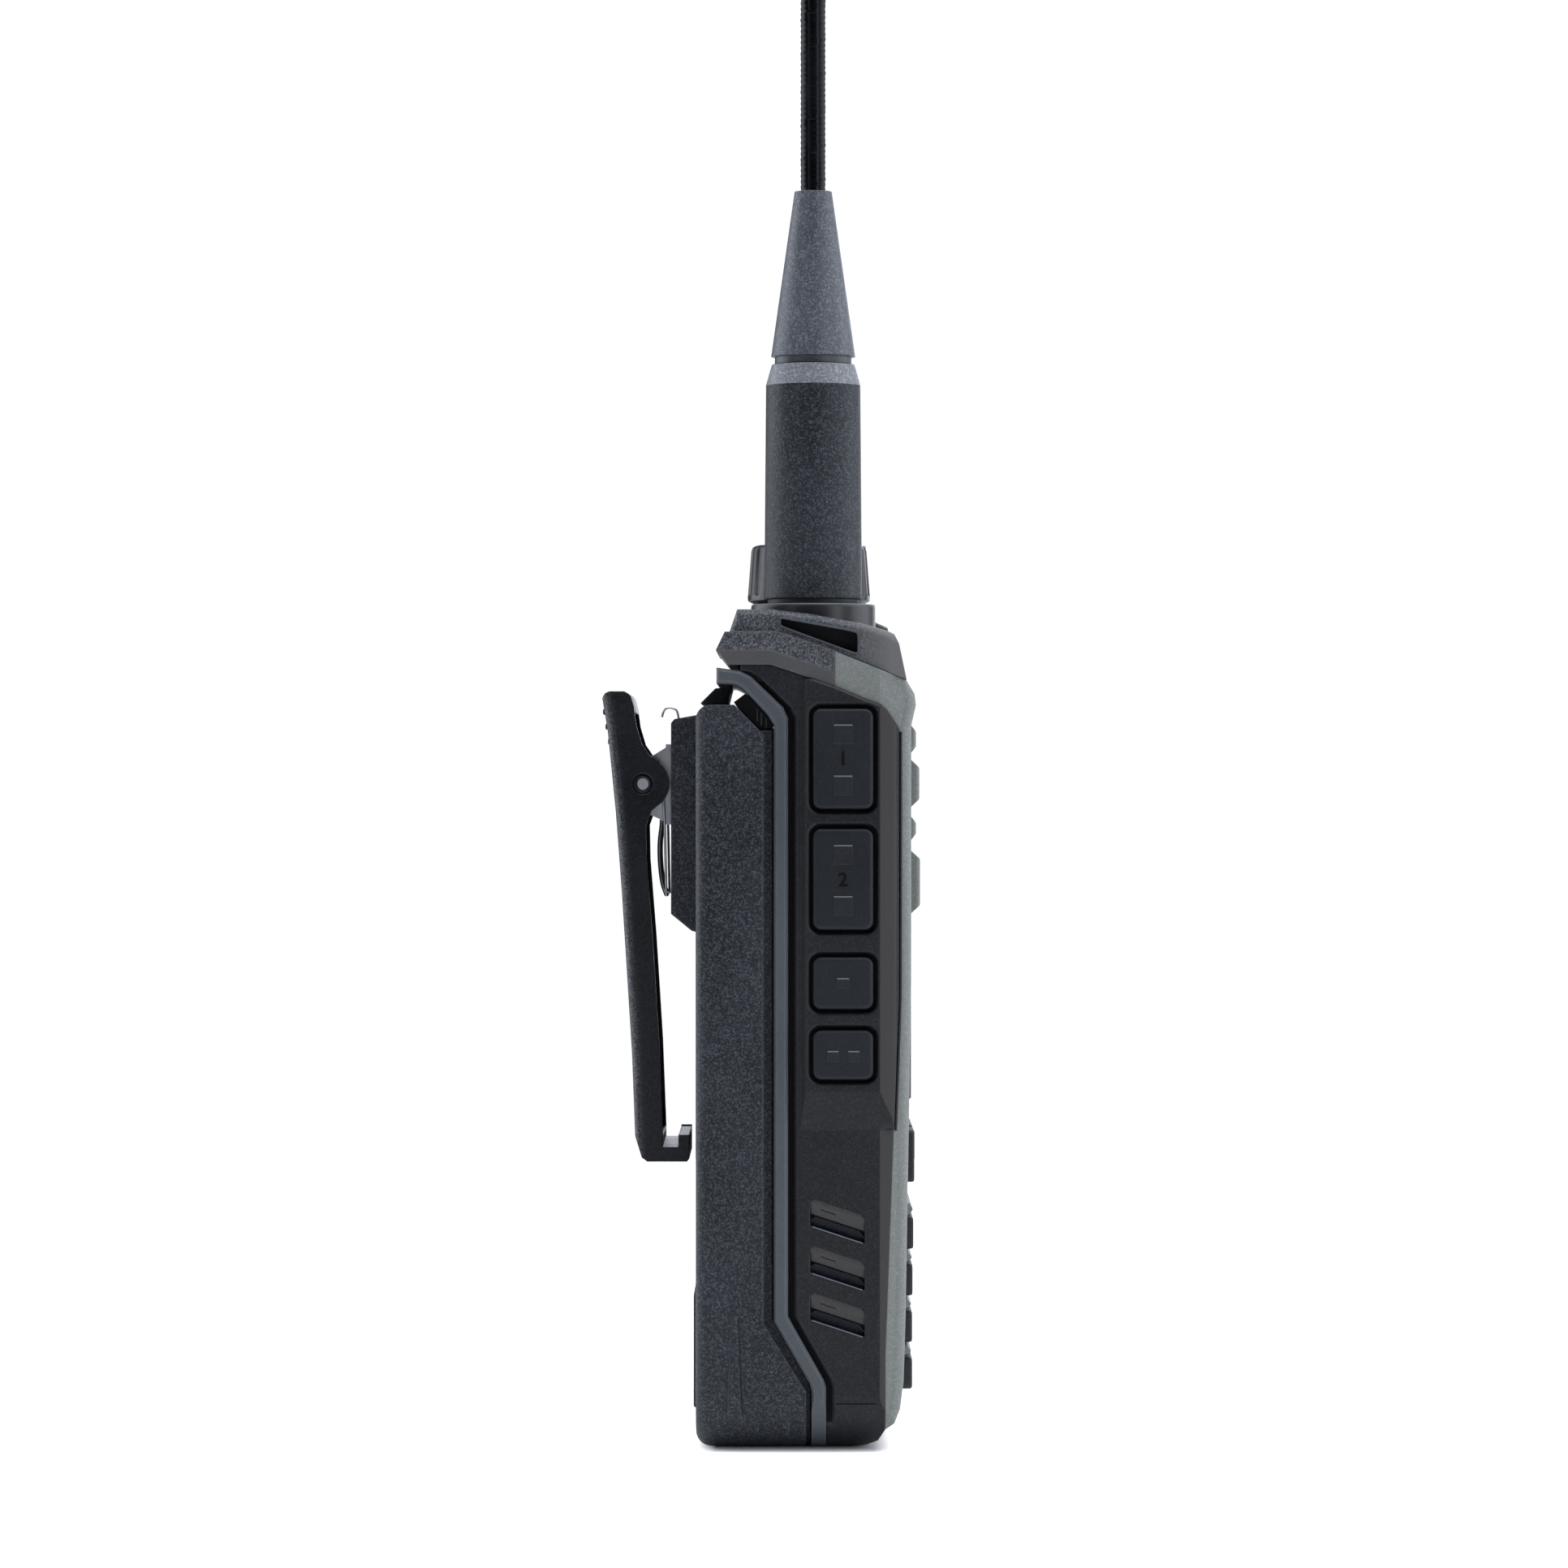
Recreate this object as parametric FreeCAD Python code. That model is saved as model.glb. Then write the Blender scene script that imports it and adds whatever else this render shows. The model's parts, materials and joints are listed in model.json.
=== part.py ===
"""A handheld two-way radio with a whip antenna, a battery pack and a belt clip.

Millimetres. X runs to the user's right, -Y is the keypad side, +Y is the belt side, +Z is up.
The origin is on the standing plane, under the middle of the body's width, inside the footprint.
Most outlines are drawn in the Y-Z plane, as seen from the side, and pushed along X.
"""

import FreeCAD, Part
import math
import os

V = FreeCAD.Vector

# ---- Driving dimensions -------------------------------------------------------------------

HALF_WIDTH = 27.8          # side walls of the housing
WALL = 1.6                 # moulded wall thickness
BOTTOM_CORNER = 8.0        # radius of the body's lower corners, seen from the front
GAP = 0.4                  # line between a key and its opening
BUTTON_GAP = 0.55          # line between a side button and its opening
FRONT_LOW, FRONT_HIGH = -16.1, -16.9   # front face, at the keypad and at the display
COVER_EDGE_LOW, COVER_EDGE_HIGH = -13.1, -15.1   # where the front cover meets the main housing
COVER_FOOT = 3.0           # lower edge of the front cover
COVER_CORNER = 1.6         # radius where the cover's sides meet its front
SIDE_BEVEL_Y, SIDE_BEVEL = -12.3, 0.9   # the side wall slopes inwards in front of this line
FIELD_HEIGHT = 0.8         # the field round the side buttons stands this far off the wall
SHADOW_W, SHADOW_D = 1.2, 1.2   # shadow line in the side walls beside the rear plate
CAP_FRONT_Y = -5.7         # the joint between the bumper strip and the front cover

BATTERY_FRONT, BATTERY_REAR = 4.6, 14.45
BATTERY_TOP = 108.3
BATTERY_HALF = 28.0

ANTENNA_X, ANTENNA_Y = -15.0, -2.7
COLLAR_TOP = 123.2
BASE_R_LOW, BASE_R_HIGH = 7.2, 6.95
BASE_LOW, SLEEVE_TOP, NECK_Z = 124.0, 155.5, 158.5
CONE_LOW, CONE_TOP = 159.7, 184.0
WHIP_R, WHIP_TOP = 1.85, 322.0
SOCKET_R = 3.1             # the antenna socket's threaded stud

KNOB_X, KNOB_Y = 15.0, -2.2
KNOB_LOW, KNOB_TOP = 124.2, 133.2
KNOB_R_LOW, KNOB_R_HIGH = 9.4, 8.8
SHAFT_R = 3.0

PIN_Y, PIN_Z, PIN_R = 22.45, 96.8, 1.0
CLIP_HALF, CLIP_WALL, CLIP_ROUND = 13.0, 1.5, 1.8
BLOCK_REAR = 18.3          # rear face of the block that carries the belt clip

SIDE_KEY_FRONT, SIDE_KEY_REAR = -11.3, -2.6
SIDE_KEYS = {              # lower and upper edge of each side button
    "ptt_button_a": (93.2, 107.7),
    "ptt_button_b": (75.7, 90.3),
    "side_key_upper": (64.2, 71.7),
    "side_key_lower": (54.0, 61.1),
}
BUTTON_FACE_X = 29.3

KEY_PITCH_X, KEY_PITCH_Z = 12.4, 6.8
KEY_W, KEY_H = 10.6, 4.6
KEY_LOWEST = 10.9          # centre height of the lowest row
KEY_NAMES = [
    ["key_star", "key_0", "key_hash", "key_exit"],
    ["key_7", "key_8", "key_9", "key_down"],
    ["key_4", "key_5", "key_6", "key_up"],
    ["key_1", "key_2", "key_3", "key_menu"],
]
FUNCTION_Z, FUNCTION_H = 42.4, 7.6
FUNCTION_KEYS = {          # middle and width of each
    "function_left": (-17.2, 9.6),
    "function_centre": (0.0, 19.0),
    "function_right": (17.2, 9.6),
}
KEY_PROUD = 1.0

DISPLAY_HALF, DISPLAY_LOW, DISPLAY_HIGH = 20.0, 50.6, 73.6
GRILLE_HALF = 17.5
GRILLE_BARS = [(103.4, 4.0, 0.9), (96.9, 6.4, 1.4), (90.3, 3.4, 0.9), (82.4, 8.6, 1.5)]
GRILLE_SLOTS, GRILLE_SLOT = (100.5, 92.9, 87.6), 1.2
WINDOW_DEPTH = 3.4         # the slanted windows in the top cap's shoulders

JACK_LOW, JACK_HIGH = 80.0, 106.0


# ---- Building blocks ----------------------------------------------------------------------

def prism(outline, x_low, x_high):
    """A Y-Z outline pushed along X."""
    points = [V(x_low, y, z) for y, z in outline]
    face = Part.Face(Part.makePolygon(points + points[:1]))
    return face.extrude(V(x_high - x_low, 0, 0))


def box(x_low, x_high, y_low, y_high, z_low, z_high):
    size = (x_high - x_low, y_high - y_low, z_high - z_low)
    return Part.makeBox(*size, V(x_low, y_low, z_low))


def disc(radius, z_low, z_high, x=0.0, y=0.0):
    """An upright round bar."""
    return Part.makeCylinder(radius, z_high - z_low, V(x, y, z_low))


def taper(r_low, r_high, z_low, z_high, x=0.0, y=0.0):
    """An upright cone frustum."""
    return Part.makeCone(r_low, r_high, z_high - z_low, V(x, y, z_low))


def bar_y(radius, y_low, y_high, x, z):
    """A round bar from front to rear."""
    return Part.makeCylinder(radius, y_high - y_low, V(x, y_low, z), V(0, 1, 0))


def bar_x(radius, x_low, x_high, y, z):
    """A round bar across the width."""
    return Part.makeCylinder(radius, x_high - x_low, V(x_low, y, z), V(1, 0, 0))


def rod(points, radius):
    """A wire of straight runs with round elbows."""
    pieces = [Part.makeSphere(radius, V(*p)) for p in points]
    for a, b in zip(points, points[1:]):
        run = V(*b) - V(*a)
        pieces.append(Part.makeCylinder(radius, run.Length, V(*a), run))
    return pieces[0].multiFuse(pieces[1:]).removeSplitter()


def union(first, *others):
    return first.multiFuse(list(others)).removeSplitter()


def edges_where(shape, test):
    """Edges all of whose points pass the test, which is given an edge's bounding box."""
    return [edge for edge in shape.Edges if test(edge.BoundBox)]


def soften(shape, radius, test):
    """Fillets the edges that pass the test."""
    return shape.makeFillet(radius, edges_where(shape, test))


def runs_along(axis):
    """A test for straight edges parallel to one axis."""
    lengths = {"x": ("YLength", "ZLength"), "y": ("XLength", "ZLength"), "z": ("XLength", "YLength")}

    def test(bounds):
        return all(getattr(bounds, length) < 1e-4 for length in lengths[axis])
    return test


def both_sides(shape):
    """The shape and its mirror image across the middle plane."""
    return [shape, shape.mirror(V(0, 0, 0), V(1, 0, 0))]


def body_width(half_width, z_high=130.0):
    """The outline seen from the front: straight sides and round lower corners."""
    blank = box(-half_width, half_width, -30, 30, 0, z_high)
    return soften(blank, BOTTOM_CORNER, lambda b: runs_along("y")(b) and b.ZMax < 0.01)


# ---- Outlines that several parts share ----------------------------------------------------

# Front face of the rear plate, from the standing plane up to the top flange.
PLATE_FRONT = [(-4.5, 0.0), (-4.5, 9.3), (-4.16, 10.4), (0.2, 18.1), (1.0, 19.6), (1.0, 106.3),
               (1.7, 107.9), (6.4, 112.4), (7.95, 113.2)]
PLATE_REAR = [(11.4, 113.7), (11.4, 111.4), (8.8, 111.3), (7.6, 110.7), (4.07, 106.9), (3.1, 105.4),
              (3.1, 18.9), (2.3, 17.5), (-2.05, 9.9), (-2.4, 8.7), (-2.4, 0.0)]
# Lower edge of the bumper strip and of the front cover's shoulder, from rear to front.
SHOULDER = [(7.95, 114.1), (3.5, 114.1), (CAP_FRONT_Y, 111.0), (-10.4, 109.0), (-12.4, 108.3),
            (-13.3, 107.5), (COVER_EDGE_HIGH, 104.8)]
SEAM = SHOULDER + [(COVER_EDGE_HIGH + 0.1, 66.0), (COVER_EDGE_LOW, 14.0), (COVER_EDGE_LOW, COVER_FOOT)]
FOOT = [(-12.1, 1.2), (-10.4, 0.35), (-8.6, 0.0)]


def inner_outline(margin):
    """The hollow inside the main housing, set in from its rear wall by the margin."""
    rear = 1.0 - margin
    return [(-30, margin), (-4.5 - margin, margin), (-4.5 - margin, 10.0), (rear, 19.6 + margin),
            (rear, 106.3), (5.0 - margin, 111.0), (5.0 - margin, 130), (-30, 130)]


# ---- Housing ------------------------------------------------------------------------------

def side_opening(z_low, z_high, margin):
    hole = box(-32, -24, SIDE_KEY_FRONT - margin, SIDE_KEY_REAR + margin, z_low - margin, z_high + margin)
    return soften(hole, 1.5, runs_along("x"))


def grip_recess(z_top):
    """A slanted pocket that is deepest along its lower edge."""
    run, fall = 7.9, 2.6
    profile = [(-0.25, 0.1), (0.7, -2.35), (1.45, -2.45), (1.45, -3.7), (-0.3, -4.25)]   # depth, height
    corners = [V(-HALF_WIDTH + depth, -2.2, z_top + height) for depth, height in profile]
    face = Part.Face(Part.makePolygon(corners + corners[:1]))
    return face.extrude(V(0, -run, -fall))


def bevelled_sides(extra):
    """A bar that fills the body but slopes inwards along its front vertical edges."""
    half = HALF_WIDTH + extra
    plan = [(-half, 30), (-half, SIDE_BEVEL_Y), (-half + SIDE_BEVEL, -15.2), (-half + SIDE_BEVEL, -30)]
    plan = plan + [(-x, y) for x, y in plan[::-1]]
    points = [V(x, y, -1) for x, y in plan]
    return Part.Face(Part.makePolygon(points + points[:1])).extrude(V(0, 0, 140))


def button_field():
    """The raised field round the side buttons, with a long slope at its lower end."""
    side = [(0.0, 46.6), (FIELD_HEIGHT, 52.2), (FIELD_HEIGHT, 112.0), (0.0, 112.0)]
    points = [V(-HALF_WIDTH - height, -1.0, z) for height, z in side]
    field = Part.Face(Part.makePolygon(points + points[:1])).extrude(V(0, -15.0, 0))
    field = field.makeChamfer(0.6, edges_where(field, lambda b: b.YMin > -1.01 and b.ZMin > 52
                                               and b.XMax < -HALF_WIDTH - 0.7))
    return field.common(bevelled_sides(FIELD_HEIGHT))


def main_housing():
    outline = PLATE_FRONT + SEAM + FOOT
    shell = prism(outline, -HALF_WIDTH, HALF_WIDTH).common(body_width(HALF_WIDTH))
    shell = shell.common(bevelled_sides(0.0))
    hollow = prism(inner_outline(WALL), -HALF_WIDTH + WALL, HALF_WIDTH - WALL)
    shell = shell.cut(hollow.common(body_width(HALF_WIDTH - WALL).translated(V(0, 0, WALL))))
    # A shadow line in the side walls beside the rear plate.
    groove_face = PLATE_FRONT + [(y - SHADOW_W, z) for y, z in PLATE_FRONT[::-1]]
    for side in both_sides(prism(groove_face, -HALF_WIDTH - 1, -HALF_WIDTH + SHADOW_D)):
        shell = shell.cut(side)
    # The raised field round the side buttons, and a plain one round the jack cover.
    for field in both_sides(button_field()):
        shell = shell.fuse(field.common(prism(outline, -40, 40)))
    shell = shell.removeSplitter()
    for z_low, z_high in SIDE_KEYS.values():
        shell = shell.cut(side_opening(z_low, z_high, BUTTON_GAP))
    rims = edges_where(shell, lambda b: b.XMax < -HALF_WIDTH - FIELD_HEIGHT + 0.01
                       and b.YMin > SIDE_KEY_FRONT - 0.7 and b.YMax < SIDE_KEY_REAR + 0.7)
    shell = shell.makeChamfer(0.3, rims)
    for step in range(3):
        for recess in both_sides(grip_recess(36.8 - 6.8 * step)):
            shell = shell.cut(recess)
    # The accessory jack's window in the right wall.
    window = box(24, 32, -10.6, -3.4, 83.0, 103.0)
    return shell.cut(window).cut(union(*screw_blanks())).cut(union(*contact_blanks()))


def rear_plate():
    """The grey frame between the housing and the battery pack."""
    plate = prism(PLATE_FRONT + PLATE_REAR, -HALF_WIDTH - 0.3, HALF_WIDTH + 0.3)
    plate = plate.makeChamfer(0.4, edges_where(plate, lambda b: b.XLength < 1e-4 and b.ZMax > 0.01))
    plate = plate.common(body_width(HALF_WIDTH + 0.3))
    return plate.cut(union(*screw_blanks())).cut(union(*contact_blanks()))


COVER_FRONT = [(CAP_FRONT_Y, 116.1), (-16.2, 111.9), (-17.4, 109.9), (-17.6, 108.3), (FRONT_HIGH, 105.2),
               (FRONT_HIGH, 68.0), (FRONT_LOW, 20.0), (-15.8, 10.0), (-15.3, 6.0), (-14.5, 4.0)]


def front_y(z):
    """Where the front face is at a height."""
    share = min(max((z - 20.0) / 48.0, 0.0), 1.0)
    return FRONT_LOW + (FRONT_HIGH - FRONT_LOW) * share


def rounded_plan(z, front):
    """The cover seen from above: bevelled sides that turn into the front with a round corner."""
    slope = SIDE_BEVEL / (SIDE_BEVEL_Y - COVER_EDGE_HIGH)
    side_y = front + COVER_CORNER
    side_x = HALF_WIDTH - slope * (SIDE_BEVEL_Y - side_y)
    bend = COVER_CORNER * (1 - math.sqrt(0.5))
    left = [V(-HALF_WIDTH, 5, z), V(-HALF_WIDTH, SIDE_BEVEL_Y, z), V(-side_x, side_y, z),
            V(-side_x + bend, front + bend, z), V(-side_x + COVER_CORNER, front, z)]
    right = [V(-p.x, p.y, p.z) for p in left[::-1]]
    line = Part.LineSegment
    edges = [line(left[0], left[1]), line(left[1], left[2]), Part.Arc(*left[2:]),
             line(left[4], right[0]), Part.Arc(*right[:3]), line(right[2], right[3]),
             line(right[3], right[4]), line(right[4], left[0])]
    return Part.Wire([edge.toShape() for edge in edges])


def rounded_front():
    """A bar that follows the front face's profile with round vertical corners."""
    profile = [(-14.5, 0.0)] + COVER_FRONT[:0:-1] + [(-16.2, 118.0)]
    return Part.makeLoft([rounded_plan(z, front) for front, z in profile], True, True)


def grille_bar(z, height, proud):
    """One raised bar of the loudspeaker grille, with sloping upper and lower faces."""
    base, slope = FRONT_HIGH + 0.5, 0.9
    half = height / 2
    outline = [(base, z - half - slope), (base, z + half + slope), (FRONT_HIGH - proud, z + half - slope),
               (FRONT_HIGH - proud, z - half + slope)]
    bar = prism(outline, -GRILLE_HALF, GRILLE_HALF)
    return soften(bar, 0.6, lambda b: b.YMax < FRONT_HIGH - proud + 0.01)


def row_ribs():
    """Small ridges above each row of number keys."""
    ribs = []
    for row in range(4):
        z = KEY_LOWEST + (row + 0.5) * KEY_PITCH_Z + (0.2 if row == 3 else 0.0)
        half = 0.9 if row == 3 else 0.65
        face = front_y(z)
        ribs.append(prism([(face + 0.4, z - half), (face + 0.4, z + half), (face - 0.35, z + half - 0.1),
                           (face - 0.85, z - 0.1), (face - 0.35, z - half + 0.1)], -24.0, 24.0))
    return ribs


def key_centre(row, column):
    return (column - 1.5) * KEY_PITCH_X, KEY_LOWEST + row * KEY_PITCH_Z


def key_plans():
    """Every key on the front: name, centre, width and height."""
    plans = []
    for row, names in enumerate(KEY_NAMES):
        for column, name in enumerate(names):
            x, z = key_centre(row, column)
            plans.append((name, x, z, KEY_W, KEY_H))
    for name, (x, width) in FUNCTION_KEYS.items():
        plans.append((name, x, FUNCTION_Z, width, FUNCTION_H))
    return plans


def key_blank(x, z, width, height, y_low, y_high, radius):
    blank = box(x - width / 2, x + width / 2, y_low, y_high, z - height / 2, z + height / 2)
    return soften(blank, radius, runs_along("y"))


def front_cover():
    outline = COVER_FRONT + SEAM[:1:-1]
    shell = prism(outline, -HALF_WIDTH, HALF_WIDTH).common(body_width(HALF_WIDTH)).common(rounded_front())
    hollow = [(-12.6, 4.6), (-14.35, 7.4), (FRONT_LOW + WALL, 20.0), (FRONT_HIGH + WALL, 68.0),
              (FRONT_HIGH + WALL, 108.0), (-13.6, 111.2), (-2, 115.8), (2, 118), (2, 4.6)]
    hollow = prism(hollow, -HALF_WIDTH + 2.4, HALF_WIDTH - 2.4)
    shell = shell.cut(hollow.common(body_width(HALF_WIDTH - WALL).translated(V(0, 0, WALL))))
    shell = union(shell, *[grille_bar(*bar) for bar in GRILLE_BARS], *row_ribs())
    slots = [box(-GRILLE_HALF + 2, GRILLE_HALF - 2, -20, -13, z - GRILLE_SLOT / 2, z + GRILLE_SLOT / 2)
             for z in GRILLE_SLOTS]
    windows = [box(-DISPLAY_HALF, DISPLAY_HALF, -20, -13, DISPLAY_LOW, DISPLAY_HIGH)]
    keys = [key_blank(x, z, w + 2 * GAP, h + 2 * GAP, -20, -13, 1.2) for _, x, z, w, h in key_plans()]
    microphone_hole = bar_y(0.6, -20, -13, 0.0, 48.5)
    under_cap = box(-25.5, 25.5, -9.5, 0, 105, 120)
    flange_room = box(-26.3, 26.3, -12.8, 0, 104, 110)
    return shell.cut(union(*slots, *windows, *keys, microphone_hole, under_cap, flange_room))


def bumper_strip():
    """The smooth band round the rear of the shoulders."""
    outline = [(11.3, 116.2), (3.5, 116.2), (CAP_FRONT_Y, 113.0), (CAP_FRONT_Y, 111.0), (3.5, 114.1),
               (9.6, 114.1)]
    band = prism(outline, -HALF_WIDTH - 0.2, HALF_WIDTH + 0.2)
    return band.cut(box(-HALF_WIDTH + WALL, HALF_WIDTH - WALL, -9, 8.4, 108, 120))


def top_cap():
    upper = [(8.4, 122.2), (3.5, 122.2), (-2.4, 121.5), (-9.5, 120.2), (-13.6, 119.0), (-14.4, 118.6),
             (-15.1, 117.2), (-16.2, 111.95), (CAP_FRONT_Y, 116.15), (CAP_FRONT_Y, 113.0), (3.5, 116.2),
             (10.4, 116.2), (9.4, 119.3)]
    lower = [(11.5, 116.2), (10.2, 118.9), (2.6, 118.9), (CAP_FRONT_Y, 116.2), (CAP_FRONT_Y, 113.0),
             (3.5, 116.2)]
    block = prism(upper, -HALF_WIDTH + 0.5, HALF_WIDTH - 0.5)
    block = soften(block, 1.4, lambda b: b.XLength < 1e-3 and b.ZMin > 118.5)
    cap = union(block, prism(lower, -HALF_WIDTH - 0.2, HALF_WIDTH + 0.2))
    room = [(7.0, 108), (7.0, 118.4), (-1, 118.4), (-12.0, 115.6), (-13.4, 110)]
    cap = cap.cut(prism(room, -HALF_WIDTH + 2.6, HALF_WIDTH - 2.6))
    # The slanted window in each shoulder, with rounded corners.
    window = [(2.2, 121.0), (2.2, 119.7), (-9.2, 115.5), (-9.2, 118.9)]
    window = prism(window, -32, -HALF_WIDTH + WINDOW_DEPTH)
    window = soften(window, 0.5, runs_along("x"))
    for side in both_sides(window):
        cap = cap.cut(side)
    cap = union(cap, disc(8.2, 119.0, COLLAR_TOP, KNOB_X, KNOB_Y))
    cap = cap.cut(disc(9.15, 112, 130, ANTENNA_X, ANTENNA_Y))
    cap = cap.cut(disc(SHAFT_R + 0.8, 112, 130, KNOB_X, KNOB_Y))
    return cap.cut(led_blank())


def led_blank():
    return prism([(-11.2, 118.2), (-11.2, 121.3), (-13.9, 120.1), (-13.9, 118.2)], -5.0, 5.0)


def led_lens():
    return soften(led_blank(), 0.4, lambda b: b.ZMin > 120.0)


def antenna_collar():
    """The smooth plinth that the antenna stands on."""
    plinth = disc(9.15, 116.4, COLLAR_TOP, ANTENNA_X, ANTENNA_Y)
    plinth = soften(plinth, 0.5, lambda b: b.ZMin > COLLAR_TOP - 0.01)
    return plinth.cut(disc(4.9, 110, 130, ANTENNA_X, ANTENNA_Y))


def antenna_socket():
    """Flanged coaxial socket: a threaded stud with a bore for the centre contact."""
    socket = union(disc(SOCKET_R, 112.0, 130.0, ANTENNA_X, ANTENNA_Y),
                   disc(4.85, 112.0, 121.5, ANTENNA_X, ANTENNA_Y))
    return socket.cut(disc(1.4, 124.0, 131, ANTENNA_X, ANTENNA_Y))


def volume_encoder():
    can = box(KNOB_X - 5, KNOB_X + 5, KNOB_Y - 5, KNOB_Y + 5, 111.2, 116.2)
    return union(can, disc(SHAFT_R, 116.0, 129.0, KNOB_X, KNOB_Y))


# ---- Inside the housing -------------------------------------------------------------------

BOARD_FRONT, BOARD_REAR = -9.4, -8.2


def main_board():
    board = box(-21, 18, BOARD_FRONT, BOARD_REAR, 6, 107)
    chips = [box(x, x + 8, BOARD_REAR, BOARD_REAR + 1.4, z, z + 8) for x in (-16, 4) for z in (40, 62, 84)]
    return union(board, *chips)


def speaker_driver():
    """Loudspeaker with a flat chassis and a magnet behind it."""
    frame = bar_y(17.0, -14.5, -12.2, 0, 91.5)
    return union(frame, bar_y(10.0, -12.2, BOARD_FRONT, 0, 91.5))


def speaker_mesh():
    return box(-GRILLE_HALF + 1, GRILLE_HALF - 1, FRONT_HIGH + WALL, -14.9, 79.0, 105.0)


def display_lens():
    lens = box(-DISPLAY_HALF, DISPLAY_HALF, -17.0, -15.9, DISPLAY_LOW, DISPLAY_HIGH)
    return lens.makeChamfer(0.3, edges_where(lens, lambda b: b.YMax < -16.99))


def display_module():
    return box(-18.5, 18.5, -14.6, -11.0, DISPLAY_LOW + 1, DISPLAY_HIGH - 1)


def keypad_mat():
    """Silicone sheet with a post behind every key."""
    sheet = box(-25.5, 25.5, -12.6, -11.6, 7.2, 46.8)
    posts = [bar_y(1.6, -11.6, BOARD_FRONT, x * 0.82, z) for _, x, z, _, _ in key_plans()]
    return union(sheet, *posts)


def microphone():
    return bar_y(1.5, -14.6, -13.2, 0.0, 48.5)


def side_switches():
    """Four domed switches on a strip behind the side buttons."""
    strip = box(-23.2, -22.4, SIDE_KEY_FRONT, SIDE_KEY_REAR, 52, 109)
    middle = (SIDE_KEY_FRONT + SIDE_KEY_REAR) / 2
    domes = [bar_x(2.0, -23.7, -23.2, middle, (low + high) / 2) for low, high in SIDE_KEYS.values()]
    return union(strip, *domes)


def jack_block():
    """Insert with two round sockets for a plug-in microphone."""
    block = box(19.0, 27.4, -10.6, -3.4, 83.0, 103.0)
    for z, radius in ((97.5, 1.75), (86.6, 1.25)):
        block = block.cut(bar_x(radius, 21.0, 30, -7.0, z))
    return block


SCREW_PLACES = [(x, z) for x in (-22.0, 22.0) for z in (24.0, 101.0)]
CONTACT_PLACES = [(-7.5, 30.0), (0.0, 30.0), (7.5, 30.0)]


def screw_blanks():
    return [union(bar_y(1.0, -2.2, 3.0, x, z), bar_y(1.9, 1.6, 3.0, x, z)) for x, z in SCREW_PLACES]


def contact_blanks():
    return [bar_y(0.9, -7.5, BATTERY_FRONT - 0.3, x, z) for x, z in CONTACT_PLACES]


def housing_screws():
    """Pan-head screws with a cross recess."""
    screws = []
    for (x, z), blank in zip(SCREW_PLACES, screw_blanks()):
        cross = union(box(x - 1.1, x + 1.1, 2.4, 4, z - 0.2, z + 0.2),
                      box(x - 0.2, x + 0.2, 2.4, 4, z - 1.1, z + 1.1))
        screws.append(blank.cut(cross))
    return Part.makeCompound(screws)


def contact_pins():
    tips = [soften(pin, 0.3, lambda b: b.YMin > BATTERY_FRONT - 0.4) for pin in contact_blanks()]
    return Part.makeCompound(tips)


# ---- Side buttons, keys and knob ----------------------------------------------------------

def side_button(z_low, z_high):
    """A crowned key with an inner flange that keeps it in the wall."""
    face = box(-BUTTON_FACE_X, -25.9, SIDE_KEY_FRONT, SIDE_KEY_REAR, z_low, z_high)
    face = soften(face, 1.2, runs_along("x"))
    face = soften(face, 0.5, lambda b: b.XMax < -BUTTON_FACE_X + 0.01)
    flange = box(-25.9, -25.0, SIDE_KEY_FRONT - 1.0, SIDE_KEY_REAR + 1.0, z_low - 1.0, z_high + 1.0)
    middle = (SIDE_KEY_FRONT + SIDE_KEY_REAR) / 2
    stem = bar_x(1.5, -25.2, -24.6, middle, (z_low + z_high) / 2)
    return union(face, flange, stem)


def front_key(x, z, width, height):
    outer = front_y(z) - KEY_PROUD
    inner = front_y(z) + WALL + 0.35
    cap = key_blank(x, z, width, height, outer, inner, 0.9)
    cap = soften(cap, 0.35, lambda b: b.YMax < outer + 0.01)
    return union(cap, box(x - width / 2 - 0.7, x + width / 2 + 0.7, inner, inner + 0.6,
                          z - height / 2 - 0.7, z + height / 2 + 0.7))


def volume_knob():
    """A tapered knob with flutes, bored for the encoder's shaft."""
    x, y = KNOB_X, KNOB_Y
    knob = taper(KNOB_R_LOW, KNOB_R_HIGH, KNOB_LOW + 1.0, KNOB_TOP, x, y)
    knob = union(knob, taper(KNOB_R_LOW - 0.8, KNOB_R_LOW, KNOB_LOW, KNOB_LOW + 1.0, x, y))
    knob = soften(knob, 0.6, lambda b: b.ZMin > KNOB_TOP - 0.01)
    flutes = []
    for step in range(12):
        turn = math.radians(30 * step)
        reach = KNOB_R_LOW + 0.9
        centre = V(x + reach * math.cos(turn), y + reach * math.sin(turn), KNOB_LOW + 1.6)
        flutes.append(Part.makeCylinder(1.6, 12, centre))
    knob = knob.cut(union(*flutes))
    return knob.cut(disc(SHAFT_R + 0.06, KNOB_LOW - 1, 129.4, x, y))


# ---- Antenna ------------------------------------------------------------------------------

def antenna_base():
    x, y = ANTENNA_X, ANTENNA_Y
    sleeve = union(taper(BASE_R_LOW, BASE_R_HIGH, BASE_LOW, SLEEVE_TOP, x, y),
                   taper(BASE_R_HIGH, 6.1, SLEEVE_TOP, NECK_Z, x, y))
    sleeve = sleeve.cut(disc(4.6, BASE_LOW - 1, 133.0, x, y))
    return sleeve.cut(disc(1.0, 132.0, NECK_Z + 1, x, y))


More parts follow.
